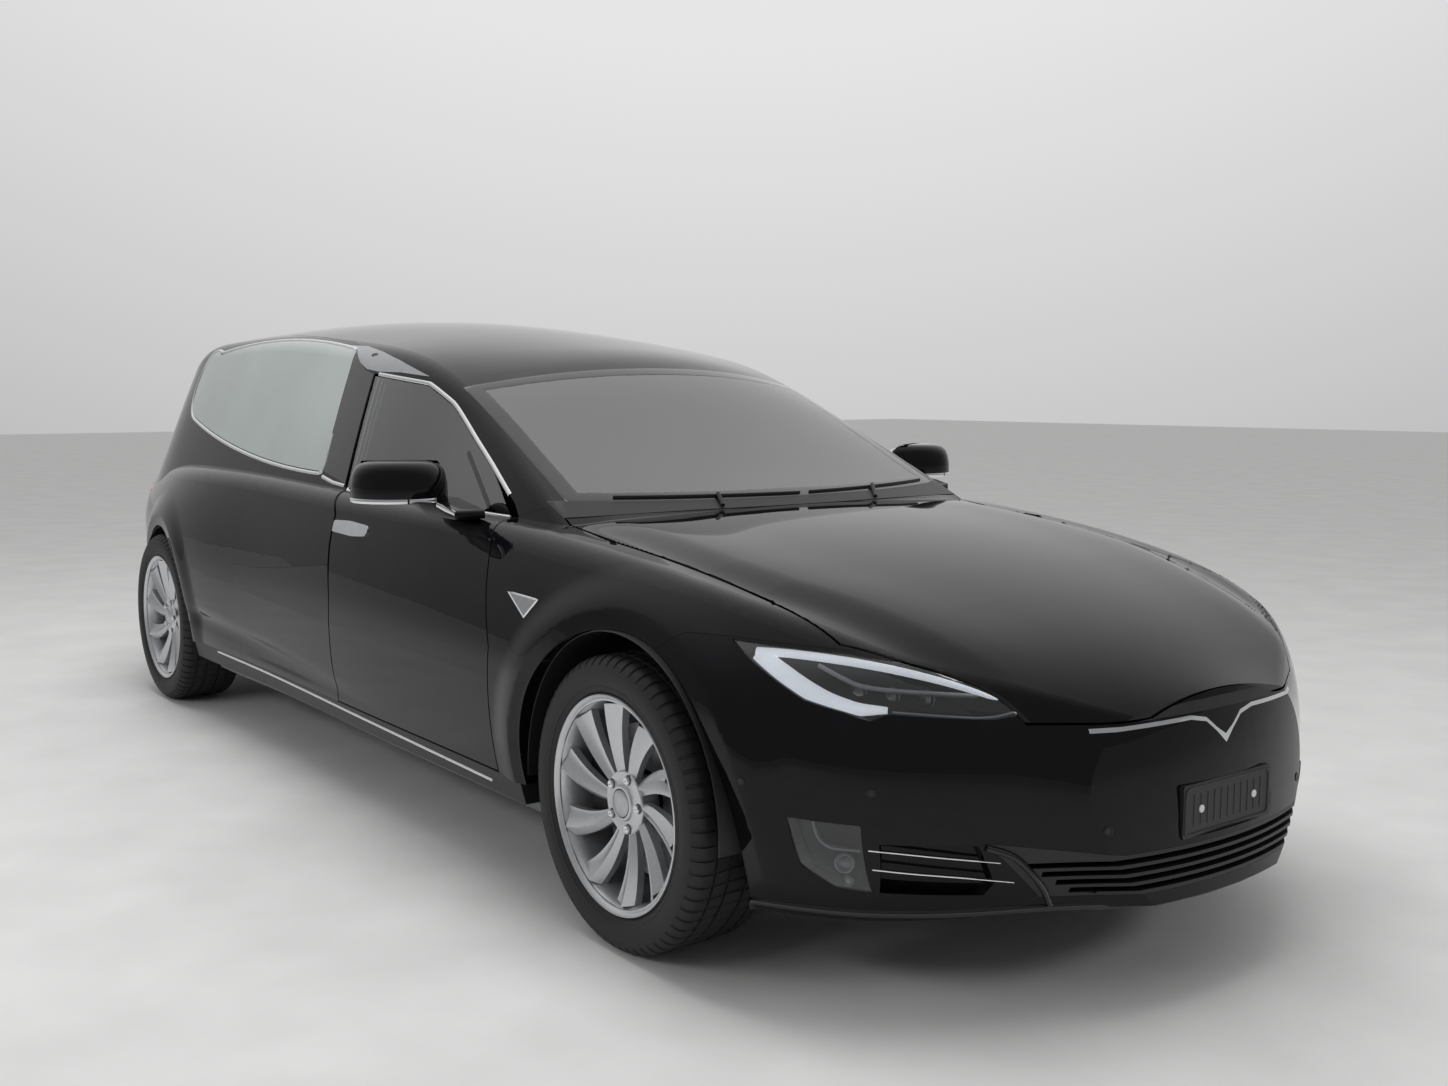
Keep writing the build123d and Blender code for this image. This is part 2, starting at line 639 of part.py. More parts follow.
with BuildPart() as partition:
    with BuildSketch(Plane.YZ.offset(station(PARTITION_D - PARTITION_THICK))) as wall_face:
        with BuildLine():
            foot = [(PARTITION_HALF, FLOOR_TOP + SEAT_GAP), (PARTITION_HALF, PARTITION_BELT), PARTITION_TOP]
            Polyline(foot + [(-y, z) for y, z in reversed(foot)], close=True)
        make_face()
        with Locations((0, WINDOW_Z)):
            RectangleRounded(*WINDOW, mode=Mode.SUBTRACT)
    extrude(amount=PARTITION_THICK)
save(partition.part, "partition")

# Wheel-arch liners.
LINER_HALF = 935.0
LINER_END = 20.0
with BuildPart() as liners:
    for axle_x, radius in ((FRONT_AXLE_X, ARCH_FRONT), (REAR_AXLE_X, ARCH_REAR)):
        with BuildSketch(Plane.XZ.offset(WELL_INNER + SEAT_GAP)) as band:
            with Locations((axle_x, HUB_Z)):
                Circle(radius - SEAT_GAP)
                Circle(radius - SEAT_GAP - LINER, mode=Mode.SUBTRACT)
            with Locations((axle_x, HUB_Z - radius)):
                Rectangle(4 * radius, 2 * radius - 2 * LINER_END, mode=Mode.SUBTRACT)
        extrude(amount=LINER_HALF - WELL_INNER)
    mirror(about=Plane.XZ)
save(liners.part, "wheel_liners")


def wheel_planes(side, axle_x, half_track):
    """Face plane with Z outboard, profile plane with X outboard and Y up, and the axle line."""
    hub = (axle_x, side * half_track, HUB_Z)
    face = Plane(origin=hub, x_dir=(1, 0, 0), z_dir=(0, side, 0))
    profile = Plane(origin=hub, x_dir=(0, side, 0), z_dir=(side, 0, 0))
    return face, profile, Axis(hub, (0, side, 0))


SHOULDER_HALF = 116.0
SHOULDER_RADIUS = 328.0
WALL_RADIUS = 292.0
FLANGE_RADIUS = RIM_RADIUS + 2


def make_tyre(profile, axle):
    half = [
        (BEAD_HALF, BEAD_RADIUS), (BEAD_HALF, FLANGE_RADIUS), (TYRE_HALF, WALL_RADIUS),
        (SHOULDER_HALF, SHOULDER_RADIUS), (TREAD_HALF, TYRE_RADIUS),
    ]
    with BuildPart() as tyre:
        with BuildSketch(profile) as ring:
            with BuildLine():
                Polyline(half + [(-u, r) for u, r in reversed(half)], close=True)
            make_face()
        revolve(axis=axle)
    return tyre.part


RIM_EDGE = 114.0
BARREL = BEAD_RADIUS - 0.5
SPOKE_BACK = 66.0
SPOKE_FACE = 96.0
HUB_BACK = 20.0
HUB_FACE = 84.0
BLADE_START = 42.0
BLADE_ROOT = 15.0
BLADE_TIP = 37.0
BLADE_SWEEP = 13.0


def make_rim(face, profile, axle):
    half = [
        (BEAD_HALF + 0.5, BARREL), (BEAD_HALF + 0.5, RIM_RADIUS), (RIM_EDGE, RIM_RADIUS), (RIM_EDGE, BARREL - RIM_WALL),
    ]
    tip_radius = BARREL - RIM_WALL / 2
    sweep = math.radians(BLADE_SWEEP)
    tip = (tip_radius * math.cos(sweep), tip_radius * math.sin(sweep))
    side = (math.sin(sweep) * BLADE_TIP, -math.cos(sweep) * BLADE_TIP)
    blade = [
        (BLADE_START, -BLADE_ROOT), (BLADE_START, BLADE_ROOT),
        (tip[0] - side[0], tip[1] - side[1]), (tip[0] + side[0], tip[1] + side[1]),
    ]
    with BuildPart() as rim:
        with BuildSketch(profile) as barrel:
            with BuildLine():
                Polyline(half + [(-u, r) for u, r in reversed(half)], close=True)
            make_face()
        revolve(axis=axle)
        with BuildSketch(face.offset(SPOKE_BACK)) as blades:
            with PolarLocations(0, SPOKES):
                Polygon(*blade, align=None)
        extrude(amount=SPOKE_FACE - SPOKE_BACK)
        with BuildSketch(face.offset(HUB_BACK)) as boss:
            Circle(HUB_RADIUS)
        extrude(amount=HUB_FACE - HUB_BACK)
        with BuildSketch(face.offset(HUB_BACK)) as bore:
            Circle(STUB_RADIUS + STUB_GAP)
        extrude(amount=STUB_END - HUB_BACK + 1, mode=Mode.SUBTRACT)
    return rim.part


STUB_END = 58.0
DISC_OUT = HUB_BACK - STUB_GAP


def make_disc(face):
    with BuildPart() as disc:
        with BuildSketch(face.offset(DISC_OUT - DISC_THICK)) as plate:
            Circle(DISC_RADIUS)
            Circle(STUB_RADIUS + STUB_GAP, mode=Mode.SUBTRACT)
        extrude(amount=DISC_THICK)
    return disc.part


KNUCKLE_IN = -80.0
KNUCKLE_OUT = -30.0
KNUCKLE_HALF = (55.0, 90.0)
PIN_END = 150.0
EYE = (100.0, 140.0)
EYE_RADIUS = 32.0
CALIPER = (112.0, 198.0, 70.0)
CALIPER_SIDE = (-32.0, 40.0)
DISC_CLEAR = 5.0
BRACKET_THICK = 26.0
BRACKET_TALL = 60.0


def make_knuckle(face):
    """Upright with stub axle and brake caliper. Local X is forward, local Y is across it, Z outboard."""
    with BuildPart() as knuckle:
        with BuildSketch(face.offset(KNUCKLE_IN)) as upright:
            Rectangle(2 * KNUCKLE_HALF[0], 2 * KNUCKLE_HALF[1])
        extrude(amount=KNUCKLE_OUT - KNUCKLE_IN)
        with BuildSketch(face.offset(KNUCKLE_OUT)) as stub:
            Circle(STUB_RADIUS)
        extrude(amount=STUB_END - KNUCKLE_OUT)
        with BuildSketch(face.offset(KNUCKLE_OUT - BRACKET_THICK)) as bracket:
            with Locations((-(CALIPER[0] + KNUCKLE_HALF[0]) / 2, 0)):
                Rectangle(CALIPER[0] - KNUCKLE_HALF[0] + BRACKET_TALL, BRACKET_TALL)
        extrude(amount=BRACKET_THICK)
        with BuildSketch(face.offset(CALIPER_SIDE[0])) as caliper:
            with Locations((-(CALIPER[0] + CALIPER[1]) / 2, 0)):
                Rectangle(CALIPER[1] - CALIPER[0], 2 * CALIPER[2])
        extrude(amount=CALIPER_SIDE[1] - CALIPER_SIDE[0])
        with BuildSketch(face.offset(DISC_OUT - DISC_THICK - DISC_CLEAR)) as slot:
            Circle(DISC_RADIUS + DISC_CLEAR)
            Circle(STUB_RADIUS, mode=Mode.SUBTRACT)
        extrude(amount=DISC_THICK + 2 * DISC_CLEAR, mode=Mode.SUBTRACT)
        kingpin = Plane(face.origin - face.z_dir * KINGPIN_INSET)
        with BuildSketch(kingpin.offset(-PIN_END)) as pin:
            Circle(KINGPIN_RADIUS)
        extrude(amount=2 * PIN_END)
    return knuckle.part


WHEELS = [
    ("front_left", 1, FRONT_AXLE_X, TRACK_FRONT / 2),
    ("front_right", -1, FRONT_AXLE_X, TRACK_FRONT / 2),
    ("rear_left", 1, REAR_AXLE_X, TRACK_REAR / 2),
    ("rear_right", -1, REAR_AXLE_X, TRACK_REAR / 2),
]
for place, side_sign, axle_x, half_track in WHEELS:
    face, profile, axle = wheel_planes(side_sign, axle_x, half_track)
    save(make_tyre(profile, axle), "tyre_" + place)
    with BuildPart() as rim_and_disc:
        add(make_rim(face, profile, axle))
        add(make_disc(face))
    save(rim_and_disc.part, "rim_" + place)

for place, side_sign, axle_x, half_track in WHEELS[:2]:
    face = wheel_planes(side_sign, axle_x, half_track)[0]
    save(make_knuckle(face), "knuckle_" + place.split("_")[1])

# Subframes: rails, cross beams and the arms that carry the uprights.
RAIL_OUT = 470.0
RAIL_WIDE = 70.0
RAIL_LOW = 255.0
RAIL_TALL = 110.0
ARM_HALF = 24.0
BEAM = 90.0
BEAM_PITCH = 560.0
TOWER_LONG = 88.0
REAR_RAIL_END = 480.0


def make_subframe(axle_x, d_low, d_high, kingpin_y):
    """Two rails, two cross beams and two arms a side that end in eyes at the kingpins."""
    with BuildPart() as frame:
        with BuildSketch(Plane.XY.offset(RAIL_LOW)) as rails:
            with Locations((station((d_low + d_high) / 2), 0)):
                with GridLocations(0, 2 * RAIL_OUT - RAIL_WIDE, 1, 2):
                    Rectangle(d_high - d_low, RAIL_WIDE)
            with Locations((axle_x, 0)):
                with GridLocations(BEAM_PITCH, 0, 2, 1):
                    Rectangle(BEAM, 2 * RAIL_OUT - RAIL_WIDE)
        extrude(amount=RAIL_TALL)
        for level in (-1, 1):
            low = HUB_Z + level * (EYE[0] + EYE[1]) / 2 - (EYE[1] - EYE[0]) / 2
            for side_sign in (-1, 1):
                with BuildSketch(Plane.XY.offset(low)) as arm:
                    with Locations((axle_x, side_sign * (kingpin_y + RAIL_OUT - RAIL_WIDE) / 2)):
                        Rectangle(2 * ARM_HALF, kingpin_y - RAIL_OUT + RAIL_WIDE)
                    with Locations((axle_x, side_sign * kingpin_y)):
                        Circle(EYE_RADIUS)
                    with Locations((axle_x, side_sign * kingpin_y)):
                        Circle(KINGPIN_RADIUS + STUB_GAP, mode=Mode.SUBTRACT)
                extrude(amount=EYE[1] - EYE[0])
        with BuildSketch(Plane.XY.offset(HUB_Z - EYE[1])) as towers:
            with Locations((axle_x, 0)):
                with GridLocations(0, 2 * RAIL_OUT - RAIL_WIDE, 1, 2):
                    Rectangle(TOWER_LONG, RAIL_WIDE)
        extrude(amount=2 * EYE[1])
    return frame.part


front_frame = make_subframe(
    FRONT_AXLE_X, FIREWALL[1] + SEAT_GAP, SLAM[0] - SEAT_GAP, TRACK_FRONT / 2 - KINGPIN_INSET
)
save(front_frame, "front_subframe")
rear_frame = make_subframe(
    REAR_AXLE_X, -WHEELBASE - REAR_RAIL_END, TUB_REAR - SEAT_GAP, TRACK_REAR / 2 - KINGPIN_INSET
)
save(rear_frame, "rear_subframe")
with BuildPart() as rear_knuckles:
    for place, side_sign, axle_x, half_track in WHEELS[2:]:
        add(make_knuckle(wheel_planes(side_sign, axle_x, half_track)[0]))
save(rear_knuckles.part, "rear_knuckles")

# Drive units: one plain motor and gearbox block on each axle.
UNIT_CORNER = 60.0
UNIT = (430.0, 2 * (RAIL_OUT - RAIL_WIDE - SEAT_GAP), 260.0)
with BuildPart() as drive_units:
    for axle_x in (FRONT_AXLE_X, REAR_AXLE_X):
        with BuildSketch(Plane.XY.offset(HUB_Z - UNIT[2] / 2)) as unit:
            with Locations((axle_x, 0)):
                RectangleRounded(UNIT[0], UNIT[1], UNIT_CORNER)
        extrude(amount=UNIT[2])
save(drive_units.part, "drive_units")

# Cabin fittings.
DASH_HALF = 700.0
DASH_FRONT_Z = (600.0, 880.0)
DASH = [(-640, 935), (-880, 912), (-940, 800), (-760, 560)]
dash_front = FIREWALL[0] - SEAT_GAP
with BuildPart() as dashboard:
    with BuildSketch(Plane.XZ.offset(-DASH_HALF)) as dash_side:
        with BuildLine():
            Polyline(
                [(station(dash_front), z) for z in DASH_FRONT_Z] + [(station(d), z) for d, z in DASH],
                close=True,
            )
        make_face()
    extrude(amount=2 * DASH_HALF)
save(dashboard.part, "dashboard")

WHEEL_D = -1040.0
WHEEL_Y = 385.0
WHEEL_Z = 905.0
WHEEL_TILT = 22.0
STEER_RADIUS = 180.0
STEER_GRIP = 15.0
STEER_SPOKE = 40.0
STEER_HUB = 62.0
STEER_THICK = 28.0
SHAFT_RADIUS = 28.0
SHAFT_START = 10.0
column = Plane(
    origin=(station(WHEEL_D), WHEEL_Y, WHEEL_Z), x_dir=(0, 1, 0),
    z_dir=(math.cos(math.radians(WHEEL_TILT)), 0, -math.sin(math.radians(WHEEL_TILT))),
)
with BuildPart() as steering_wheel:
    with BuildSketch(Plane(origin=column.origin, x_dir=column.x_dir, z_dir=column.y_dir)) as rim_ring:
        with Locations((STEER_RADIUS, 0)):
            Circle(STEER_GRIP)
    revolve(axis=Axis(column.origin, column.z_dir))
    with BuildSketch(column.offset(-STEER_THICK / 2)) as spider:
        Rectangle(2 * STEER_RADIUS, STEER_SPOKE)
        Circle(STEER_HUB)
    extrude(amount=STEER_THICK)
    with BuildSketch(column.offset(SHAFT_START)) as shaft:
        Circle(SHAFT_RADIUS)
    extrude(until=Until.NEXT, target=dashboard.part)
    add(dashboard.part, mode=Mode.SUBTRACT)
save(steering_wheel.part, "steering_wheel")

SEAT_Y = 385.0
SEAT_HALF = 255.0
SEAT_FOOT = FLOOR_TOP + SEAT_GAP
SEAT_ROUND = 30.0
SEAT_SIDE = [
    (-1000, SEAT_FOOT), (-1000, 560), (-1420, 520), (-1590, 1060), (-1600, 1190), (-1690, 1185), (-1700, 1060),
    (-1560, 420), (-1540, SEAT_FOOT),
]
with BuildPart() as seats:
    with BuildSketch(Plane.XZ.offset(SEAT_Y - SEAT_HALF)) as seat_side:
        with BuildLine():
            Polyline([(station(d), z) for d, z in SEAT_SIDE], close=True)
        make_face()
        fillet(seat_side.vertices().sort_by(Axis.Y)[2:], SEAT_ROUND)
    extrude(amount=2 * SEAT_HALF)
    mirror(about=Plane.XZ)
save(seats.part, "seats")
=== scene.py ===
import json
import math

import bmesh
import bpy
import numpy as np
from mathutils import Matrix, Vector
from mathutils.bvhtree import BVHTree
from mathutils.geometry import delaunay_2d_cdt


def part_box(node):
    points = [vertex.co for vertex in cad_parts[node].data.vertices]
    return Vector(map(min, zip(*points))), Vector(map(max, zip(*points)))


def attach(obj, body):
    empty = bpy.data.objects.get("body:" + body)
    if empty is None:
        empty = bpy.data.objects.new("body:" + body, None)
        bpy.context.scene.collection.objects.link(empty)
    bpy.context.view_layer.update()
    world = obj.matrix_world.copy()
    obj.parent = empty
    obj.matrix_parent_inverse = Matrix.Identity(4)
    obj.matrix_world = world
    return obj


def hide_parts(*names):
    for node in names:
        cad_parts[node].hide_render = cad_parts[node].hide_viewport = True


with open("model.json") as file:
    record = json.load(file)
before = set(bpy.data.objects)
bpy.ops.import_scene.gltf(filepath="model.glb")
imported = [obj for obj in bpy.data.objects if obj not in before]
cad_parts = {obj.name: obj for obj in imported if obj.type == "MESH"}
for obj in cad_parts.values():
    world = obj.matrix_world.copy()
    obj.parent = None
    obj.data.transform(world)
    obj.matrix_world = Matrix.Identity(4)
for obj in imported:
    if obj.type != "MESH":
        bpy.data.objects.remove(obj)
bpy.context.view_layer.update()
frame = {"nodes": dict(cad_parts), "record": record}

nodes = frame["nodes"]


def centre_of(node):
    low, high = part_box(node)
    return (low + high) / 2


# Lengths in metres. Places along the car are measured forward from the front axle.
FRONT_WHEEL = centre_of("tyre_front_left")
REAR_WHEEL = centre_of("tyre_rear_left")
AXLE_X = FRONT_WHEEL.x
OUTSIDE = 2.0
FORWARD = Vector((1, 0, 0))
LEFT = Vector((0, 1, 0))
RIGHT = Vector((0, -1, 0))
UPWARD = Vector((0, 0, 1))


def at(d, y, z):
    return Vector((AXLE_X + d, y, z))


# Materials: every finish is procedural, so noise varies its colour and roughness.
NOISE_DETAIL = 5.0
MOTTLE_RAMP = (0.3, 0.7)
ROUGH_SPREAD = (0.8, 1.2)
COAT_ROUGH = 0.02
COAT_IOR = 1.32
BUMP_DEEP = 0.001
GLASS_IOR = 1.5
GLASS_GRAIN = 3.0
GLASS_SHADE = 0.93


def material(
    name, color, rough, metal=0.0, coat=0.0, mottle=0.2, grain=60.0, bump=0.0, glow=0.0, shine=0.5
):
    made = bpy.data.materials.new(name)
    made.use_nodes = True
    tree = made.node_tree
    link = tree.links.new
    shader = tree.nodes["Principled BSDF"]
    coords = tree.nodes.new("ShaderNodeTexCoord")
    noise = tree.nodes.new("ShaderNodeTexNoise")
    noise.inputs["Scale"].default_value = grain
    noise.inputs["Detail"].default_value = NOISE_DETAIL
    link(coords.outputs["Object"], noise.inputs["Vector"])
    ramp = tree.nodes.new("ShaderNodeValToRGB")
    shades = (1 - mottle, 1 + mottle)
    for element, position, shade in zip(ramp.color_ramp.elements, MOTTLE_RAMP, shades):
        element.position = position
        element.color = (*[min(1, c * shade) for c in color], 1)
    link(noise.outputs["Fac"], ramp.inputs["Fac"])
    link(ramp.outputs["Color"], shader.inputs["Base Color"])
    spread = tree.nodes.new("ShaderNodeMapRange")
    spread.inputs["To Min"].default_value = rough * ROUGH_SPREAD[0]
    spread.inputs["To Max"].default_value = min(1, rough * ROUGH_SPREAD[1])
    link(noise.outputs["Fac"], spread.inputs["Value"])
    link(spread.outputs["Result"], shader.inputs["Roughness"])
    shader.inputs["Metallic"].default_value = metal
    shader.inputs["Specular IOR Level"].default_value = shine
    shader.inputs["Coat Weight"].default_value = coat
    shader.inputs["Coat Roughness"].default_value = COAT_ROUGH
    shader.inputs["Coat IOR"].default_value = COAT_IOR
    if glow:
        link(ramp.outputs["Color"], shader.inputs["Emission Color"])
        shader.inputs["Emission Strength"].default_value = glow
    if bump:
        raised = tree.nodes.new("ShaderNodeBump")
        raised.inputs["Strength"].default_value = bump
        raised.inputs["Distance"].default_value = BUMP_DEEP
        link(noise.outputs["Fac"], raised.inputs["Height"])
        link(raised.outputs["Normal"], shader.inputs["Normal"])
    return made


def thin_glass(name, tint, mirror, haze=0.02):
    """Pane that lets tinted light through and reflects more at a flat angle."""
    made = bpy.data.materials.new(name)
    made.use_nodes = True
    tree = made.node_tree
    link = tree.links.new
    tree.nodes.remove(tree.nodes["Principled BSDF"])
    noise = tree.nodes.new("ShaderNodeTexNoise")
    noise.inputs["Scale"].default_value = GLASS_GRAIN
    ramp = tree.nodes.new("ShaderNodeValToRGB")
    ramp.color_ramp.elements[0].color = (*[c * GLASS_SHADE for c in tint], 1)
    ramp.color_ramp.elements[1].color = (*tint, 1)
    link(noise.outputs["Fac"], ramp.inputs["Fac"])
    through = tree.nodes.new("ShaderNodeBsdfTransparent")
    link(ramp.outputs["Color"], through.inputs["Color"])
    shine = tree.nodes.new("ShaderNodeBsdfGlossy")
    shine.inputs["Roughness"].default_value = haze
    slant = tree.nodes.new("ShaderNodeFresnel")
    slant.inputs["IOR"].default_value = GLASS_IOR
    share = tree.nodes.new("ShaderNodeMath")
    share.operation = "ADD"
    share.use_clamp = True
    share.inputs[1].default_value = mirror
    link(slant.outputs["Fac"], share.inputs[0])
    mix = tree.nodes.new("ShaderNodeMixShader")
    link(share.outputs["Value"], mix.inputs["Fac"])
    link(through.outputs["BSDF"], mix.inputs[1])
    link(shine.outputs["BSDF"], mix.inputs[2])
    link(mix.outputs["Shader"], tree.nodes["Material Output"].inputs["Surface"])
    return made


PAINT = material("gloss_black_paint", (0.004, 0.004, 0.005), 0.3, coat=1.0, grain=9.0, shine=0.0)
TRIM = material("satin_black_plastic", (0.012, 0.012, 0.012), 0.45, grain=400.0, bump=0.15)
GLOSS = material("gloss_black_plastic", (0.006, 0.006, 0.006), 0.08, coat=0.5, grain=20.0)
CHROME = material("bright_plating", (0.85, 0.86, 0.88), 0.07, metal=1.0, mottle=0.04, grain=30.0)
SATIN = material("satin_grey_trim", (0.5, 0.51, 0.53), 0.3, metal=0.9, mottle=0.06, grain=80.0)
ALLOY = material(
    "silver_lacquered_alloy", (0.62, 0.63, 0.65), 0.32, metal=0.75, coat=0.6, mottle=0.05, grain=150.0
)
# Painted shade: dark alloy for the lug recesses, standing in for the shadow that falls in the holes round the
# lug nuts.
DARK_ALLOY = material("shadowed_alloy", (0.12, 0.12, 0.125), 0.5, metal=0.6, grain=90.0)
STEEL = material("turned_brake_steel", (0.28, 0.28, 0.29), 0.35, metal=1.0, grain=120.0)
IRON = material("coated_iron", (0.03, 0.03, 0.032), 0.6, metal=0.3, grain=70.0, bump=0.3)
CASING = material("cast_casing", (0.22, 0.23, 0.24), 0.5, metal=0.8, grain=60.0, bump=0.2)
RUBBER = material("tyre_rubber", (0.014, 0.014, 0.014), 0.62, mottle=0.3, grain=220.0, bump=0.12)
LEATHER = material("black_leather", (0.018, 0.018, 0.019), 0.42, mottle=0.3, grain=260.0, bump=0.35)
DASH = material("soft_black_moulding", (0.016, 0.016, 0.017), 0.6, grain=500.0, bump=0.2)
FELT = material("grey_felt", (0.09, 0.09, 0.095), 0.95, mottle=0.35, grain=600.0, bump=0.5)
BOARDS = material("dark_varnished_boards", (0.11, 0.055, 0.03), 0.3, coat=0.4, mottle=0.5, grain=14.0)
WHITE_LAMP = material("white_light_guide", (0.9, 0.93, 1.0), 0.3, mottle=0.03, grain=90.0, glow=0.55)
LIT_RED = material("red_light_bar", (0.75, 0.03, 0.03), 0.2, mottle=0.1, grain=120.0, glow=0.25)
BRIGHT_MOULDING = material(
    "bright_lamp_moulding", (0.72, 0.74, 0.77), 0.22, metal=0.35, mottle=0.05, grain=140.0
)
WHITE_PLASTIC = material("white_plastic", (0.75, 0.75, 0.73), 0.4, mottle=0.05, grain=120.0)
RED_LAMP = material("red_lamp_lens", (0.35, 0.01, 0.012), 0.15, coat=0.8, mottle=0.25, grain=180.0)
CLEAR = thin_glass("clear_lamp_lens", (0.93, 0.94, 0.95), 0.03)
SMOKED = thin_glass("smoked_lamp_lens", (0.78, 0.79, 0.80), 0.01)
GLASS = thin_glass("green_tinted_glass", (0.5, 0.56, 0.54), 0.2)
PRIVACY = material("grey_green_privacy_glass", (0.36, 0.41, 0.39), 0.25, coat=1.0, mottle=0.1, grain=1.5)
FLOOR = material("pale_studio_floor", (0.7, 0.7, 0.695), 0.85, mottle=0.05, grain=3.0)


# Meshes.
class Shape:
    """Vertices and faces that are gathered before they become one piece."""

    def __init__(self, verts=(), faces=()):
        self.verts = []
        self.faces = []
        self.add(verts, faces)

    def add(self, verts, faces):
        start = len(self.verts)
        self.verts += [Vector(v) for v in verts]
        self.faces += [[start + i for i in face] for face in faces]

    def moved(self, matrix):
        flip = matrix.determinant() < 0
        faces = [face[::-1] for face in self.faces] if flip else self.faces
        return Shape([matrix @ v for v in self.verts], faces)


def union(shapes):
    """Several shapes as one."""
    made = Shape()
    for shape in shapes:
        made.add(shape.verts, shape.faces)
    return made


ACROSS = Matrix.Scale(-1, 4, (0, 1, 0))
SHARP = math.radians(32)


def add_piece(name, mesh, finish, body):
    """A mesh as an object that rides a body."""
    mesh.materials.append(finish)
    made = bpy.data.objects.new(name, mesh)
    bpy.context.scene.collection.objects.link(made)
    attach(made, body)
    return made


def place(shape, name, finish, body):
    mesh = bpy.data.meshes.new(name)
    mesh.from_pydata(shape.verts, [], shape.faces)
    turned = bmesh.new()
    turned.from_mesh(mesh)
    bmesh.ops.recalc_face_normals(turned, faces=turned.faces)
    turned.to_mesh(mesh)
    turned.free()
    mesh.shade_smooth()
    mesh.set_sharp_from_angle(angle=SHARP)
    return add_piece(name, mesh, finish, body)


def place_pair(shape, name, finish):
    """A right-hand piece of the body and its mirror image, as one object."""
    return place(union([shape, shape.moved(ACROSS)]), name, finish, "body")


def place_sides(shape, name, finish, body):
    """The same piece on the right and left one of two bodies."""
    right = place(shape, name + "_right", finish, body + "_right")
    left = place(shape.moved(ACROSS), name + "_left", finish, body + "_left")
    return right, left


def grid_faces(rows, columns, wrap_rows=False, wrap_columns=False):
    faces = []
    for i in range(rows if wrap_rows else rows - 1):
        for j in range(columns if wrap_columns else columns - 1):
            k = (i + 1) % rows
            m = (j + 1) % columns
            faces.append([i * columns + j, i * columns + m, k * columns + m, k * columns + j])
    return faces


# Skins made so far, by node.
SURFACES = {}

# The car's spine: outward is away from it.
SPINE_FRONT = 0.2
SPINE_Z = 0.55
LEAST_OUT = 0.3


def away(points):
    """Directions from the car's spine to some points."""
    foot = np.array(points)
    foot[:, 0] = np.clip(foot[:, 0], REAR_WHEEL.x, AXLE_X + SPINE_FRONT)
    foot[:, 1] = 0
    foot[:, 2] = SPINE_Z
    return unit(points - foot)


def unit(rows):
    return rows / np.maximum(np.linalg.norm(rows, axis=-1, keepdims=True), 1e-12)


def flat_normals(verts, faces):
    a, b, c = (verts[faces[:, k]] for k in range(3))
    return unit(np.cross(b - a, c - a))


def looks_out(verts, faces):
    """Which faces belong to the outside of the car."""
    middles = verts[faces].mean(axis=1)
    return np.sum(flat_normals(verts, faces) * away(middles), axis=1) > LEAST_OUT


def points_of(mesh):
    co = np.empty(3 * len(mesh.vertices))
    mesh.vertices.foreach_get("co", co)
    return co.reshape(-1, 3)


def welded(node):
    """A node's points, triangles and corner normals, with doubled points along its CAD edges joined."""
    source = nodes[node].data
    corner = np.empty(len(source.loops), dtype=int)
    source.loops.foreach_get("vertex_index", corner)
    normals = np.empty(3 * len(source.loops))
    source.corner_normals.foreach_get("vector", normals)
    verts, index = np.unique(points_of(source).round(5), axis=0, return_inverse=True)
    faces = index.reshape(-1)[corner].reshape(-1, 3)
    whole = (faces[:, 0] != faces[:, 1]) & (faces[:, 1] != faces[:, 2]) & (faces[:, 2] != faces[:, 0])
    return verts, faces[whole], normals.reshape(-1, 3, 3)[whole]


def search_tree(*names):
    """Search tree over the outside faces of some nodes."""
    points = []
    sides = []
    for name in names:
        verts, faces, _ = SURFACES[name] if name in SURFACES else welded(name)
        sides += (faces[looks_out(verts, faces)] + len(points)).tolist()
        points += verts.tolist()
    return BVHTree.FromPolygons(points, sides)


def flowing(points, step):
    """Points along a smooth curve through the given ones, about one step apart."""
    points = [Vector(p) for p in points]
    ends = [2 * points[0] - points[1]] + points + [2 * points[-1] - points[-2]]
    line = []
    for a, b, c, d in zip(ends, ends[1:], ends[2:], ends[3:]):
        count = max(1, round((c - b).length / step))
        for i in range(count):
            t = i / count
            bend = 2 * a - 5 * b + 4 * c - d
            twist = 3 * b - a - 3 * c + d
            line.append(0.5 * (2 * b + (c - a) * t + bend * t**2 + twist * t**3))
    line.append(points[-1])
    return line


def straight(points, step):
    """Points along straight runs between the given ones, about one step apart."""
    points = [Vector(p) for p in points]
    line = []
    for a, b in zip(points, points[1:]):
        count = max(1, round((b - a).length / step))
        line += [a.lerp(b, i / count) for i in range(count)]
    line.append(points[-1])
    return line


def curve(points, step):
    """Smooth line through (d, y, z) points."""
    return flowing([at(*p) for p in points], step)


def cast(tree, starts, inward):
    """Where rays from some points first meet a surface, as (place, normal) pairs."""
    hits = [tree.ray_cast(start, inward)[:2] for start in starts]
    return [hit for hit in hits if hit[0] is not None]


def drop_on_side(tree, points, step, spread=straight):
    """Where a line through (d, z) points lands on the right side, as (place, normal) pairs."""
    line = spread([(d, 0, z) for d, z in points], step)
    return cast(tree, [at(p.x, -OUTSIDE, p.z) for p in line], LEFT)


def drop_nearest(tree, line):
    """Where points land on the nearest surface, as (place, normal) pairs."""
    return [tree.find_nearest(point)[:2] for point in line]


def evened(path, reach=2):
    """The same path with each normal averaged over its neighbours."""
    smooth = []
    for i, (spot, _) in enumerate(path):
        near = path[max(0, i - reach): i + reach + 1]
        smooth.append((spot, sum((n for _, n in near), Vector()).normalized()))
    return smooth


BAR_PROFILE = 8


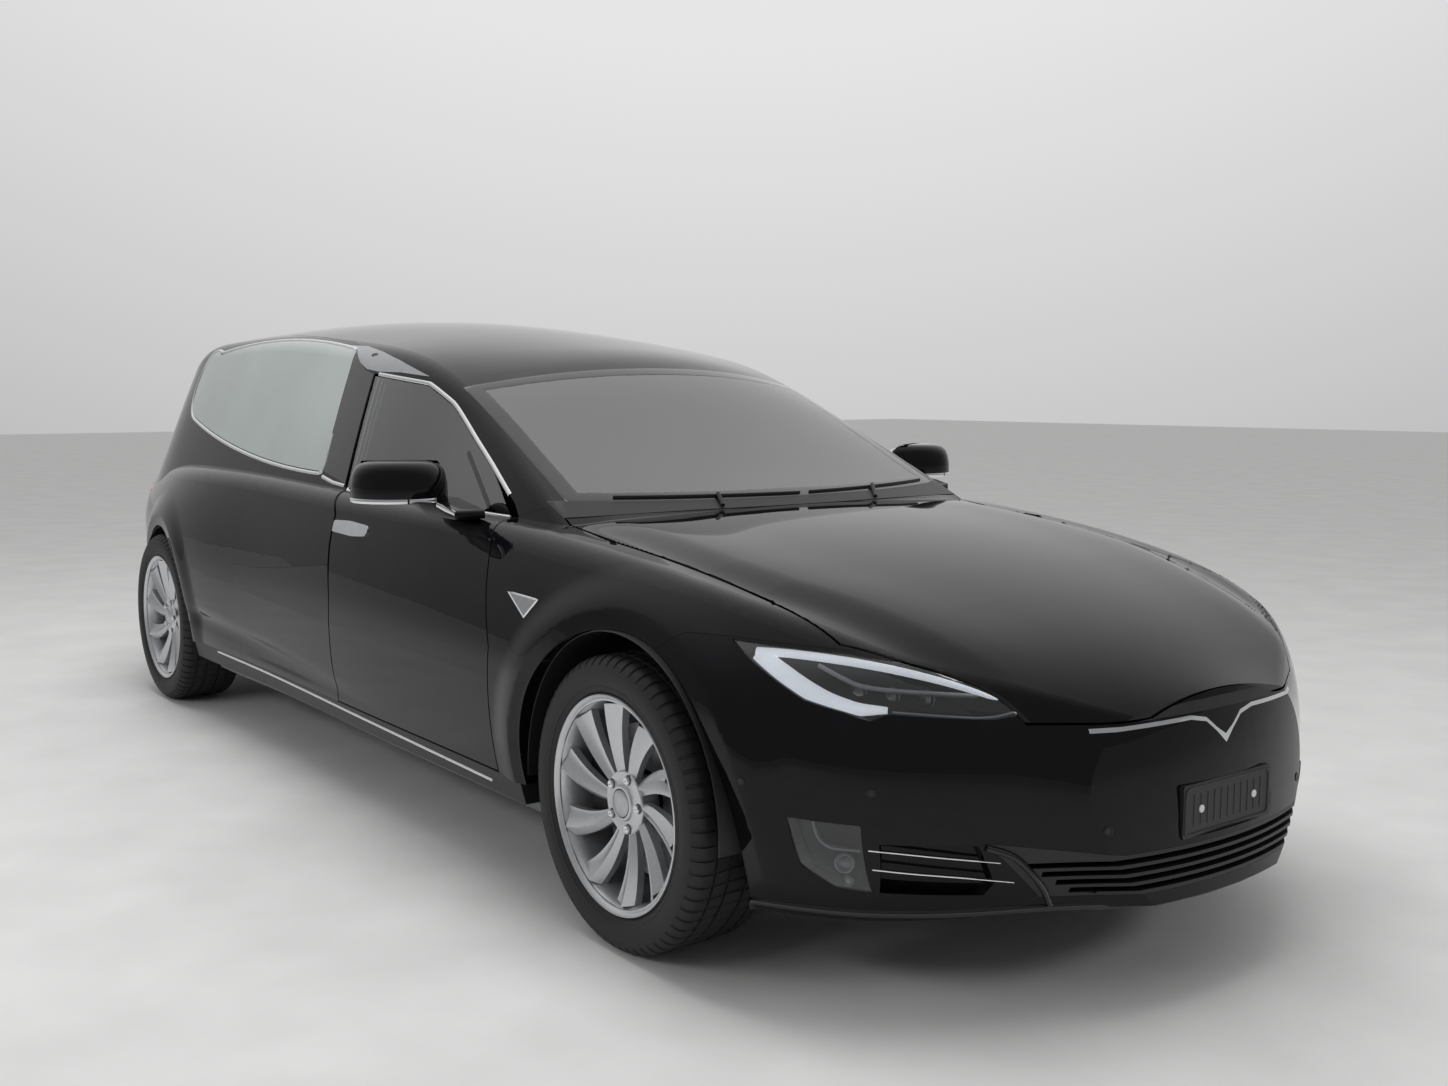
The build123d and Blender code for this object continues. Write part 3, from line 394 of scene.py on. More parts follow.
def bar(path, width, height, sink=0.002, closed=False):
    """Rounded bar that lies along a path on a surface. width is one number, or one for each point."""
    path = evened(path)
    count = len(path)
    wide = width if isinstance(width, list) else [width] * count
    verts = []
    for i, (spot, normal) in enumerate(path):
        before = path[(i - 1) % count if closed else max(0, i - 1)][0]
        after = path[(i + 1) % count if closed else min(count - 1, i + 1)][0]
        along = (after - before).normalized()
        side = along.cross(normal).normalized()
        up = side.cross(along).normalized()
        for k in range(BAR_PROFILE):
            turn = math.pi * k / (BAR_PROFILE - 1)
            verts.append(spot + side * math.cos(turn) * wide[i] / 2 + up * (math.sin(turn) * height - sink))
    faces = grid_faces(count, BAR_PROFILE, wrap_rows=closed, wrap_columns=True)
    if not closed:
        faces.append(list(range(BAR_PROFILE))[::-1])
        faces.append([(count - 1) * BAR_PROFILE + k for k in range(BAR_PROFILE)])
    return Shape(verts, faces)


def open_edges(faces):
    """Edges that only one face uses."""
    used = set()
    for face in faces:
        used.update(zip(face, face[1:] + face[:1]))
    return [(a, b) for a, b in used if (b, a) not in used]


def plate(top, base, faces):
    """Closed plate between two sheets that have the same faces."""
    size = len(top)
    shell = faces + [[size + i for i in reversed(face)] for face in faces]
    shell += [[b, a, size + a, size + b] for a, b in open_edges(faces)]
    return Shape(top + base, shell)


def patch(tree, outline, origin, across, cell, lift, thick):
    """Thin plate that follows a surface inside an outline of (along, z) points.

    across is the level direction along the plate, and the plate is dropped straight in from outside.
    """
    inward = UPWARD.cross(across).normalized()
    corners = [Vector((p[0], p[1], 0)) for p in outline]
    edge = [p.xy for p in straight(corners + corners[:1], cell)[:-1]]
    low = Vector((min(p.x for p in edge), min(p.y for p in edge)))
    high = Vector((max(p.x for p in edge), max(p.y for p in edge)))
    inner = []
    for i in range(1, math.ceil((high.x - low.x) / cell)):
        for j in range(1, math.ceil((high.y - low.y) / cell)):
            inner.append(Vector((low.x + i * cell, low.y + j * cell)))
    count = len(edge)
    flat, _, faces, _, _, _ = delaunay_2d_cdt(edge + inner, [], [list(range(count))], 1, 1e-6)
    top = []
    for p in flat:
        start = origin + across * p.x + Vector((0, 0, p.y))
        spot = tree.ray_cast(start - inward * OUTSIDE, inward)[0]
        if spot is None:
            spot = tree.find_nearest(start)[0]
        top.append(spot - inward * lift)
    return plate(top, [p + inward * thick for p in top], [list(face) for face in faces])


def lathe(profile, count):
    """Ring about the wheel's own axle: profile points are (outboard, radius)."""
    verts = []
    for i in range(count):
        turn = 2 * math.pi * i / count
        verts += [(r * math.cos(turn), u, r * math.sin(turn)) for u, r in profile]
    return Shape(verts, grid_faces(count, len(profile), wrap_rows=True, wrap_columns=True))


def round_button(spot, normal, rings, sides=24):
    """Small turned piece on a surface: rings are (height, radius) pairs."""
    turn = UPWARD.rotation_difference(Vector(normal)).to_matrix()
    verts = []
    for height, radius in rings:
        for k in range(sides):
            a = 2 * math.pi * k / sides
            verts.append(spot + turn @ Vector((radius * math.cos(a), radius * math.sin(a), height)))
    return Shape(verts, grid_faces(len(rings), sides, wrap_columns=True))


# Creases and flares that the panels share. Each is a smooth push along the surface's own normal.
# Pairs named FACES, BACK, FRONT or ABOVE hold where a push starts and the run over which it grows.
RIDGE = [
    (-0.60, 0.606), (-0.20, 0.606), (0.07, 0.612), (0.25, 0.592), (0.41, 0.545), (0.55, 0.512),
    (0.65, 0.488), (0.79, 0.448), (0.90, 0.360),
]
RIDGE_HIGH = 0.007
RIDGE_WIDE = (0.15, 0.055)
VALLEY_DEEP = 0.008
VALLEY_OFF = 0.115
VALLEY_WIDE = 0.055
RIDGE_FACES = (0.25, 0.35)
RIDGE_LOW = 0.6
RIDGE_BACK = (-0.60, 0.3)
RIDGE_FRONT = (0.93, -0.3)
SIDE_FACES = (0.35, 0.3)
ARCHES = [(FRONT_WHEEL.x, 0.405), (REAR_WHEEL.x, 0.385)]
FLARE_HIGH = 0.012
FLARE_CREST = 0.042
FLARE_WIDE = 0.15
FLARE_EDGE = 0.2
FLARE_ABOVE = (0.2, 0.1)
SCALLOP = [(-3.05, 0.415), (-2.57, 0.395), (-1.92, 0.365), (-1.20, 0.330)]
SCALLOP_DEEP = 0.014
SCALLOP_TALL = (0.050, 0.030)
SCALLOP_FRONT = (-1.15, -1.2)
SCALLOP_BACK = (-3.1, 0.15)
SCALLOP_ABOVE = (0.312, 0.03)
CREASED = 0.0002
FINE = 0.014
FINE_ROUNDS = 8
PROBE = 0.002
LEVEL = 0.7


def between(table, x):
    """Values at x in a table of (x, value) rows, held at its ends."""
    rows = sorted(table)
    return np.interp(x, [row[0] for row in rows], [row[1] for row in rows])


def fade(value, ramp):
    """Smooth growth from 0 to 1 as a value passes the start of a ramp and runs along it."""
    start, run = ramp
    t = np.clip((value - start) / run, 0, 1)
    return t * t * (3 - 2 * t)


def push(points, normals):
    """How far the skin stands out from the plain CAD surface at each point."""
    d = points[:, 0] - AXLE_X
    z = points[:, 2]
    off = np.abs(points[:, 1]) - between(RIDGE, d)
    rise = RIDGE_HIGH * np.exp(-(off / np.where(off < 0, *RIDGE_WIDE)) ** 2)
    dip = VALLEY_DEEP * np.exp(-(((off - VALLEY_OFF) / VALLEY_WIDE) ** 2))
    upward = fade(normals[:, 2], RIDGE_FACES) * (z > RIDGE_LOW)
    total = upward * fade(d, RIDGE_BACK) * fade(d, RIDGE_FRONT) * (rise - dip)
    sideways = fade(np.abs(normals[:, 1]), SIDE_FACES)
    for axle, radius in ARCHES:
        out = np.maximum(np.hypot(points[:, 0] - axle, z - FRONT_WHEEL.z) - radius, 0)
        inner = FLARE_EDGE + (1 - FLARE_EDGE) * out / FLARE_CREST
        outer = fade(out, (FLARE_WIDE, FLARE_CREST - FLARE_WIDE))
        crest = np.where(out < FLARE_CREST, inner, outer)
        total += sideways * fade(z, FLARE_ABOVE) * FLARE_HIGH * crest
    off = z - between(SCALLOP, d)
    hollow = np.exp(-((off / np.where(off < 0, *SCALLOP_TALL)) ** 2))
    along = fade(d, SCALLOP_FRONT) * fade(d, SCALLOP_BACK) * fade(z, SCALLOP_ABOVE)
    return total - sideways * SCALLOP_DEEP * along * hollow


def slopes(points, normals):
    """Slope of the push along each surface, as vectors that lie in it."""
    level = np.abs(normals[:, 2:]) < LEVEL
    first = unit(np.cross(normals, np.where(level, [[0, 0, 1]], [[1, 0, 0]])))
    total = np.zeros_like(points)
    for tangent in (first, np.cross(normals, first)):
        step = tangent * PROBE
        rise = push(points + step, normals) - push(points - step, normals)
        total += tangent * (rise / (2 * PROBE))[:, None]
    return total


# New triangles for one, two or three cut edges: 0 to 2 are a triangle's corners, 3 to 5 its new points.
CUTS = {
    1: [(0, 3, 2), (3, 1, 2)],
    2: [(0, 3, 2), (3, 4, 2), (3, 1, 4)],
    3: [(0, 3, 5), (3, 1, 4), (5, 4, 2), (3, 4, 5)],
}


def divided(faces, normals, new):
    """Triangles cut where an edge has a new point: new holds its number, or -1, for each edge."""
    points = np.concatenate([faces, new], axis=1)
    middles = unit(normals + np.roll(normals, -1, axis=1))
    leans = np.concatenate([normals, middles], axis=1)
    count = (new >= 0).sum(axis=1)
    made = [faces[count == 0]]
    made_normals = [normals[count == 0]]
    for turn in range(3):
        order = [(turn + i) % 3 for i in range(3)]
        order += [3 + i for i in order]
        has = points[:, order] >= 0
        turned = {1: has[:, 3], 2: has[:, 3] & has[:, 4], 3: turn == 0}
        for cuts, fits in turned.items():
            chosen = (count == cuts) & fits
            for triple in CUTS[cuts]:
                columns = [order[i] for i in triple]
                made.append(points[chosen][:, columns])
                made_normals.append(leans[chosen][:, columns])
    return np.concatenate(made), np.concatenate(made_normals)


def sculpted(node):
    """A panel with its outside faces made finer where it is creased, and then pushed out or in."""
    verts, faces, normals = welded(node)
    for _ in range(FINE_ROUNDS):
        edges = np.sort(np.stack([faces, np.roll(faces, -1, axis=1)], axis=2), axis=2)
        pairs, index = np.unique(edges.reshape(-1, 2), axis=0, return_inverse=True)
        lean = point_normals(verts, faces, normals)
        a, b = pairs.T
        middle = (verts[a] + verts[b]) / 2
        tilt = unit(lean[a] + lean[b])
        pushes = [np.abs(push(p, tilt)) for p in (verts[a], middle, verts[b])]
        creased = np.max(pushes, axis=0) > CREASED
        creased &= lean[a].any(axis=1) & lean[b].any(axis=1)
        chosen = creased & (np.linalg.norm(verts[a] - verts[b], axis=1) > FINE)
        if not chosen.any():
            break
        number = np.where(chosen, len(verts) + np.cumsum(chosen) - 1, -1)
        verts = np.concatenate([verts, middle[chosen]])
        faces, normals = divided(faces, normals, number[index.reshape(-1)].reshape(-1, 3))
    lean = point_normals(verts, faces, normals)
    outside = looks_out(verts, faces)
    spots = verts[faces[outside]].reshape(-1, 3)
    tilts = normals[outside].reshape(-1, 3)
    normals[outside] = unit(tilts - slopes(spots, tilts)).reshape(-1, 3, 3)
    return verts + lean * push(verts, lean)[:, None], faces, normals


def point_normals(verts, faces, normals):
    """Mean normal at each point of a panel's outside faces; zero at its other points."""
    total = np.zeros_like(verts)
    outside = looks_out(verts, faces)
    np.add.at(total, faces[outside].reshape(-1), normals[outside].reshape(-1, 3))
    return unit(total)


# Body panels: the CAD skins with their surfaces shaded as one and their edges softened.
EDGE_ROUND = 0.002
EDGE_ANGLE = math.radians(50)
SCULPTED = (
    "hood", "fenders", "front_bumper", "rear_bumper", "body_side_left", "body_side_right",
    "rear_door_panels", "door_left", "door_right", "roof", "tailgate",
)
PANES = ("glass", "privacy_glass")
SKINNED = ("paint", "trim", "chrome", "tail_lamp") + PANES
DRAWN_ANEW = ("mirror_left", "mirror_right", "tailgate_window")


def skin(node, finish, body, slot):
    verts, faces, normals = sculpted(node) if node in SCULPTED else welded(node)
    SURFACES[node] = (verts, faces, normals)
    mesh = bpy.data.meshes.new(node + "_skin")
    mesh.from_pydata(verts.tolist(), [], faces.tolist())
    mesh.update()
    mesh.shade_smooth()
    made = add_piece(node + "_skin", mesh, finish, body)
    if node in SCULPTED or slot in PANES:
        mesh.normals_split_custom_set(normals.reshape(-1, 3).tolist())
    else:
        mesh.set_sharp_from_angle(angle=SHARP)
        soft = made.modifiers.new("soft_edges", "BEVEL")
        soft.width = EDGE_ROUND
        soft.segments = 2
        soft.limit_method = "ANGLE"
        soft.angle_limit = EDGE_ANGLE
        soft.harden_normals = True
    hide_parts(node)


BODY_OF = {node: body for body, names in frame["record"]["behaviour"]["bodies"].items() for node in names}
SLOT_OF = {row["node"]: row["material_slot"] for row in frame["record"]["subparts"]}
FINISH_OF = {
    "paint": PAINT, "trim": TRIM, "glass": GLASS, "privacy_glass": PRIVACY, "lamp": CLEAR,
    "tail_lamp": RED_LAMP, "chrome": CHROME, "alloy": ALLOY, "tyre": RUBBER, "chassis": IRON,
    "casing": CASING, "leather": LEATHER, "dash": DASH, "lining": FELT, "deck": BOARDS,
}
for node, slot_name in SLOT_OF.items():
    if node in DRAWN_ANEW:
        continue
    if slot_name in SKINNED:
        skin(node, FINISH_OF[slot_name], BODY_OF[node], slot_name)
    else:
        nodes[node].data.materials.clear()
        nodes[node].data.materials.append(FINISH_OF[slot_name])

# Wheels. In a wheel's own frame Y points outboard and the axle is at the origin.
RIM_LIP = 0.2575
RIM_WELL = 0.2415
RIM_FACE = 0.114
BLADES = 10
BLADE_FROM = 0.046
BLADE_TO = 0.2345
BLADE_SWEEP = math.radians(13)
BLADE_ROWS = 16
BLADE_COLUMNS = 11
BLADE_HALF = (0.0125, 0.0245)
BLADE_LEVEL = (0.066, 0.016, 0.006)
BLADE_RISE = (0.008, 0.013)
BLADE_DEEP = (0.016, 0.004)
CREST_HALF = 0.012
CREST = 0.34
CAP_RADIUS = 0.032
LUGS = 5
LUG_CIRCLE = 0.060
DISC_RADIUS = 0.178


def rim_barrel():
    lip = [
        (0.1065, RIM_WELL), (0.1065, RIM_LIP - 0.001), (0.1100, RIM_LIP), (RIM_FACE, RIM_LIP - 0.001),
        (RIM_FACE + 0.001, 0.2535), (RIM_FACE - 0.001, 0.2495), (0.1075, 0.2455), (0.1010, 0.2405),
        (0.0920, 0.2365),
    ]
    back = [(0.0600, 0.2320), (-0.0850, 0.2270), (-0.1020, 0.2330), (-0.1130, 0.2560), (-0.1065, 0.2560)]
    return lathe(lip + back + [(-0.1065, RIM_WELL)], 128)


def blade_point(s, t, under):
    """Place on a blade: s runs from hub to rim, t across it, with its sharp crest at CREST."""
    radius = BLADE_FROM + (BLADE_TO - BLADE_FROM) * s
    half = BLADE_HALF[0] + BLADE_HALF[1] * s**1.2
    turn = BLADE_SWEEP * s**1.3 + (2 * t - 1) * half / radius
    if t < CREST:
        rise = (t / CREST) ** 0.9
    else:
        rise = (1 - (t - CREST) / (1 - CREST)) ** 1.7
    level = BLADE_LEVEL[0] + BLADE_LEVEL[1] * s + BLADE_LEVEL[2] * s * s
    height = level + (BLADE_RISE[0] + BLADE_RISE[1] * s) * rise
    if under:
        height = level - BLADE_DEEP[0] - BLADE_DEEP[1] * s
    return (radius * math.cos(turn), height, radius * math.sin(turn))


def rim_blades():
    across = [i / (BLADE_COLUMNS - 1) for i in range(BLADE_COLUMNS)]
    across = sorted(across + [CREST - CREST_HALF, CREST, CREST + CREST_HALF])
    rows = []
    for i in range(BLADE_ROWS):
        s = i / (BLADE_ROWS - 1)
        rows += [blade_point(s, t, False) for t in across]
        rows += [blade_point(s, t, True) for t in reversed(across)]
    ring = 2 * len(across)
    one = Shape(rows, grid_faces(BLADE_ROWS, ring, wrap_columns=True))
    turns = [Matrix.Rotation(2 * math.pi * i / BLADES, 4, "Y") for i in range(BLADES)]
    return union(one.moved(turn) for turn in turns)


def rim_hub():
    return lathe(
        [
            (0.020, 0.027), (0.020, 0.060), (0.060, 0.072), (0.0745, 0.0745), (0.0775, 0.0720),
            (0.0785, 0.0460), (0.0800, 0.0425), (0.0855, 0.0400), (0.0865, 0.0345), (0.0840, 0.0335),
            (0.0600, 0.0320), (0.0500, 0.027),
        ],
        96,
    )


def wheel_cap():
    profile = [
        (0.0820, CAP_RADIUS), (0.0845, CAP_RADIUS), (0.0870, 0.0312), (0.0885, 0.0270), (0.0895, 0.0180),
        (0.0900, 0.0060), (0.0901, 0.0003), (0.0820, 0.0003),
    ]
    return lathe(profile, 64)


def lug_nuts(radius, low, high, sides):
    rings = [
        (low, radius), (high - 0.002, radius), (high, radius * 0.82), (high, radius * 0.45),
        (high - 0.003, 0.0002),
    ]
    turns = [2 * math.pi * (i + 0.5) / LUGS for i in range(LUGS)]
    spots = [Vector((LUG_CIRCLE * math.cos(a), 0, LUG_CIRCLE * math.sin(a))) for a in turns]
    return union(round_button(spot, LEFT, rings, sides) for spot in spots)


def brake_disc():
    profile = [
        (-0.0080, 0.070), (-0.0080, DISC_RADIUS), (0.0000, DISC_RADIUS), (0.0015, 0.172), (0.0100, 0.172),
        (0.0115, DISC_RADIUS), (0.0195, DISC_RADIUS), (0.0195, 0.108), (0.0150, 0.106), (0.0150, 0.070),
    ]
    return lathe(profile, 96)


# Tyres: rounded walls with raised rings, four grooves round the tread and slots across its shoulders.
PITCHES = 66
SLOT_STEPS = [(0.0, 0.0), (0.05, 1.0), (0.24, 1.0), (0.30, 0.0), (0.62, 0.0)]
GROOVES = (0.026, 0.066)
GROOVE_HALF = 0.0045
GROOVE_STEPS = (1, 0.8, -0.8, -1, -2.5)
GROOVE_DEEP = 0.006
TREAD_DROP = 0.0012
TREAD_CUT = 0.55
TREAD_SKEW = (0.018, 1.6)
SLOT_DEEP = 0.0045
TREAD_RADIUS = 0.347
TREAD_EDGE = 0.092


def tyre_profile():
    """(outboard, radius, slot) points of half a tyre from bead to crown; slot scales the cross cuts."""
    wall = [
        (0.1060, 0.2425), (0.1070, 0.2590), (0.1100, 0.2615), (0.1125, 0.2640), (0.1150, 0.2690),
        (0.1172, 0.2735), (0.1190, 0.2742), (0.1192, 0.2768), (0.1186, 0.2790), (0.1205, 0.2850),
        (0.1215, 0.2920), (0.1219, 0.2985), (0.1219, 0.3060), (0.1212, 0.3130), (0.1200, 0.3185),
        (0.1206, 0.3198), (0.1192, 0.3230),
    ]
    shoulder = [(0.1160, 0.3290), (0.1110, 0.3355), (0.1045, 0.3405), (0.0980, 0.3440), (TREAD_EDGE, 0.3458)]
    points = [(u, r, 0.0) for u, r in wall] + [(u, r, 1.0) for u, r in shoulder]
    crown = [TREAD_EDGE - 0.010, GROOVES[1] + 2 * GROOVE_HALF]
    for groove in reversed(GROOVES):
        crown += [groove + GROOVE_HALF * share for share in GROOVE_STEPS]
    for u in crown:
        sunk = any(abs(u - g) < GROOVE_HALF * 0.9 for g in GROOVES)
        radius = TREAD_RADIUS - TREAD_DROP * (u / TREAD_EDGE) ** 2 - (GROOVE_DEEP if sunk else 0)
        points.append((u, radius, 0.0 if sunk else TREAD_CUT))
    return points


def tyre_shape():
    half = tyre_profile()
    profile = half + [(-u, r, cut) for u, r, cut in reversed(half)]
    verts = []
    for i in range(PITCHES):
        for share, depth in SLOT_STEPS:
            for u, r, cut in profile:
                skew = TREAD_SKEW[0] * math.sin(abs(u) / TREAD_EDGE * TREAD_SKEW[1])
                turn = 2 * math.pi * (i + share) / PITCHES + skew
                radius = r - SLOT_DEEP * depth * cut
                verts.append((radius * math.cos(turn), u, radius * math.sin(turn)))
    rows = PITCHES * len(SLOT_STEPS)
    return Shape(verts, grid_faces(rows, len(profile), wrap_rows=True, wrap_columns=True))


def wheels():
    parts = [
        ("tyre", tyre_shape(), RUBBER, "tyre", "tyre"),
        ("rim", rim_barrel(), ALLOY, "rim", "alloy"),
        ("rim_blades", rim_blades(), ALLOY, "rim", "alloy"),
        ("rim_hub", rim_hub(), ALLOY, "rim", "alloy"),
        ("wheel_cap", wheel_cap(), SATIN, "rim", "alloy"),
        # Painted shade: dark alloy rings round the nuts stand in for the shadow in the lug recesses.
        ("lug_recess", lug_nuts(0.0135, 0.0700, 0.0790, 24), DARK_ALLOY, "rim", "alloy"),
        ("lug_nuts", lug_nuts(0.0098, 0.0700, 0.0860, 6), CHROME, "rim", "alloy"),
        ("brake_disc", brake_disc(), STEEL, "rim", "alloy"),
    ]
    for place_name in ("front_left", "front_right", "rear_left", "rear_right"):
        hub = centre_of("tyre_" + place_name)
        turn = Matrix.Rotation(math.pi if hub.y < 0 else 0, 4, "Z")
        for name, shape, finish, node, slot_name in parts:
            made = place(
                shape.moved(Matrix.Translation(hub) @ turn), f"{name}_{place_name}_form", finish,
                "wheel_" + place_name,
            )
            if name in ("tyre", "rim"):
                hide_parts(f"{node}_{place_name}")


wheels()


# Tools that read a CAD skin: its outer faces, their rim, and plates cut from them.
def outer_faces(node, outward, least=LEAST_OUT, whole=False):
    """The faces of a node that look along outward, as an open sheet: the right-hand ones, or the whole."""
    verts, faces, _ = welded(node)
    chosen = flat_normals(verts, faces) @ np.array(Vector(outward).normalized()) > least
    if not whole:
        chosen &= verts[faces[:, 0], 1] < 0
    used, index = np.unique(faces[chosen], return_inverse=True)
    return Shape(verts[used].tolist(), index.reshape(-1, 3).tolist())


def rim_of(sheet):
    """The longest closed loop of points round an open sheet."""
    ahead = dict(open_edges(sheet.faces))
    best = []
    while ahead:
        start, point = next(iter(ahead.items()))
        loop = [start]
        while point in ahead and point != start:
            loop.append(point)
            point = ahead.pop(point)
        ahead.pop(start, None)
        if len(loop) > len(best):
            best = loop
    return [sheet.verts[i] for i in best]


def evenly(line, step, closed=False):
    """The same line with its points about one step apart."""
    line = line + line[:1] if closed else line
    spaced = [line[0]]
    left = step
    for a, b in zip(line, line[1:]):
        length = (b - a).length
        run = left
        while run <= length:
            spaced.append(a.lerp(b, run / length))
            run += step
        left = run - length
    return spaced


def smoothed(line, rounds, closed=False):
    """The same line with its corners eased."""
    for _ in range(rounds):
        count = len(line)
        softer = []
        for i, point in enumerate(line):
            if not closed and i in (0, count - 1):
                softer.append(point)
            else:
                softer.append((line[i - 1] + 2 * point + line[(i + 1) % count]) / 4)
        line = softer
    return line


def rounded(line, step, rounds):
    """A closed line with even steps and eased corners."""
    return smoothed(evenly(line, step, closed=True), rounds, closed=True)


def middle_of(points):
    return sum(points, Vector()) / len(points)


def inset(rim, off, outward):
    """A closed line moved towards its own middle by off, in the surface that faces outward."""
    middle = middle_of(rim)
    count = len(rim)
    line = []
    for i, point in enumerate(rim):
        side = (rim[(i + 1) % count] - rim[i - 1]).cross(outward).normalized()
        side = side if side.dot(middle - point) > 0 else -side
        line.append(point + side * off)
    return line


def thickened(sheet, shift, thick):
    """A plate: the sheet moved by shift, and the same sheet again further along it by thick."""
    step = shift.normalized() * thick
    top = [v + shift for v in sheet.verts]
    return plate(top, [v + step for v in top], sheet.faces)


def lying(points, normal):
    """Points with one common normal, as (place, normal) pairs."""
    return [(Vector(p), Vector(normal).normalized()) for p in points]


def stacked(rings):
    """Closed form through rings of as many points each."""
    size = len(rings[0])
    last = (len(rings) - 1) * size
    faces = grid_faces(len(rings), size, wrap_columns=True)
    faces += [list(range(size))[::-1], [last + k for k in range(size)]]
    return Shape([p for ring in rings for p in ring], faces)


SLAB_EDGE = 0.3
SLAB_STEPS = 6


def slab(middle, across, up, size, corner):
    """Plate of (wide, tall, thick) with rounded corners and softened edges; it faces across x up."""
    wide, tall, thick = size
    across = across.normalized()
    out = across.cross(up).normalized()
    up = out.cross(across).normalized()
    edge = min(thick, corner) * SLAB_EDGE
    rings = []
    half = thick / 2
    for depth, shrink in ((-half, edge), (edge - half, 0), (half - edge, 0), (half, edge)):
        ring = []
        for sx, sy, first in ((1, 1, 0), (-1, 1, 1), (-1, -1, 2), (1, -1, 3)):
            for k in range(SLAB_STEPS + 1):
                turn = math.pi / 2 * (first + k / SLAB_STEPS)
                x = sx * (wide / 2 - corner) + (corner - shrink) * math.cos(turn)
                y = sy * (tall / 2 - corner) + (corner - shrink) * math.sin(turn)
                ring.append(middle + across * x + up * y + out * depth)
        rings.append(ring)
    return stacked(rings)


# Lamps.
LENS_SUNK = 0.0002
LENS_THICK = 0.0025
HOUSING_THICK = 0.004
LAMP_OUT = Vector((0.58, -0.81, 0.1)).normalized()
LAMP_DEEP = 0.036
LAMP_STEP = 0.008
GUIDE_LEG = [
    (0.660, -0.706, 0.656), (0.607, -0.757, 0.658), (0.544, -0.796, 0.677), (0.468, -0.822, 0.713),
    (0.392, -0.828, 0.749),
]
GUIDE_TOP = [
    (0.385, -0.828, 0.752), (0.450, -0.790, 0.750), (0.535, -0.735, 0.742), (0.642, -0.654, 0.725),
    (0.729, -0.569, 0.697), (0.800, -0.500, 0.668),
]
BROW = [
    (0.512, -0.762, 0.728), (0.564, -0.747, 0.711), (0.605, -0.726, 0.698), (0.663, -0.672, 0.690),
    (0.739, -0.573, 0.682), (0.760, -0.550, 0.684),
]
LAMP_CASING = [(0.340, -0.838, 0.760), (0.430, -0.842, 0.712), (0.505, -0.832, 0.672), (0.570, -0.796, 0.644)]
LAMP_SILL = [(0.668, -0.700, 0.653), (0.730, -0.620, 0.645), (0.786, -0.548, 0.643), (0.822, -0.490, 0.656)]
GUIDES = [
    (GUIDE_LEG, (0.014, 0.034, 0.044, 0.046, 0.036)), (GUIDE_TOP, (0.020, 0.020, 0.020, 0.018, 0.014, 0.006)),
]
CASINGS = [(LAMP_CASING, (0.006, 0.020, 0.022, 0.010))]
# Bars inside each headlamp: name, runs of points with their widths, depth, height, finish and slot.
LAMP_BARS = [
    ("headlamp_light_guides", GUIDES, 0.010, 0.006, WHITE_LAMP, "lamp"),
    ("headlamp_casings", CASINGS, 0.014, 0.004, SATIN, "lamp"),
    ("headlamp_brows", [(BROW, (0.010, 0.010))], 0.016, 0.006, BRIGHT_MOULDING, "chrome"),
    ("headlamp_sill_lines", [(LAMP_SILL, (0.006, 0.006))], 0.006, 0.005, BRIGHT_MOULDING, "chrome"),
]
MODULES = [(0.590, -0.725, 0.680), (0.640, -0.680, 0.676), (0.690, -0.630, 0.672)]
MODULE_RINGS = [
    (0.0, 0.019), (0.010, 0.019), (0.011, 0.0165), (0.008, 0.0155), (0.013, 0.011), (0.0155, 0.0002),
]
MODULE_DEEP = 0.028
FOG_OUT = Vector((0.66, -0.75, 0)).normalized()
FOG_DEEP = 0.030
FOG_CHROME = [(0.566, -0.822, 0.424), (0.572, -0.812, 0.385), (0.590, -0.796, 0.368), (0.640, -0.757, 0.368)]
FOG_CHROME_DEEP = 0.012
FOG_ROUND = [((0.612, -0.776, 0.336), 0.021), ((0.612, -0.764, 0.296), 0.012)]
FOG_ROUND_RINGS = [(0, 1), (0.010, 1), (0.011, 0.86), (0.005, 0.7), (0.009, 0.4)]
FOG_ROUND_TIP = (0.010, 0.0002)
FOG_ROUND_DEEP = 0.024


def widths_along(line, table):
    """Width at each point of a line, from a short table spread over its length."""
    spread = []
    for i in range(len(line)):
        place_in = i / (len(line) - 1) * (len(table) - 1)
        k = min(int(place_in), len(table) - 2)
        spread.append(table[k] + (table[k + 1] - table[k]) * (place_in - k))
    return spread


def lamp_bar(tree, points, widths, deep, high):
    """A bar laid on the lens of a headlamp and then pushed in by deep."""
    path = evened(drop_nearest(tree, curve(points, LAMP_STEP)), 4)
    path = [(spot - LAMP_OUT * deep, normal) for spot, normal in path]
    return bar(path, widths_along(path, widths), high)


def headlamps():
    skin_tree = search_tree("headlamps")
    sheet = outer_faces("headlamps", LAMP_OUT)
    lens = place_pair(thickened(sheet, -LAMP_OUT * LENS_SUNK, LENS_THICK), "headlamp_lenses", CLEAR)
    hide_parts("headlamps")
    housing = thickened(sheet, -LAMP_OUT * LAMP_DEEP, HOUSING_THICK)
    place_pair(housing, "headlamp_housings", TRIM)
    for name, runs, deep, high, finish, slot_name in LAMP_BARS:
        made = union(lamp_bar(skin_tree, points, widths, deep, high) for points, widths in runs)
        place_pair(made, name, finish)
    spots = [at(*point) - LAMP_OUT * MODULE_DEEP for point in MODULES]
    lenses = union(round_button(spot, LAMP_OUT, MODULE_RINGS) for spot in spots)
    place_pair(lenses, "headlamp_projectors", STEEL)


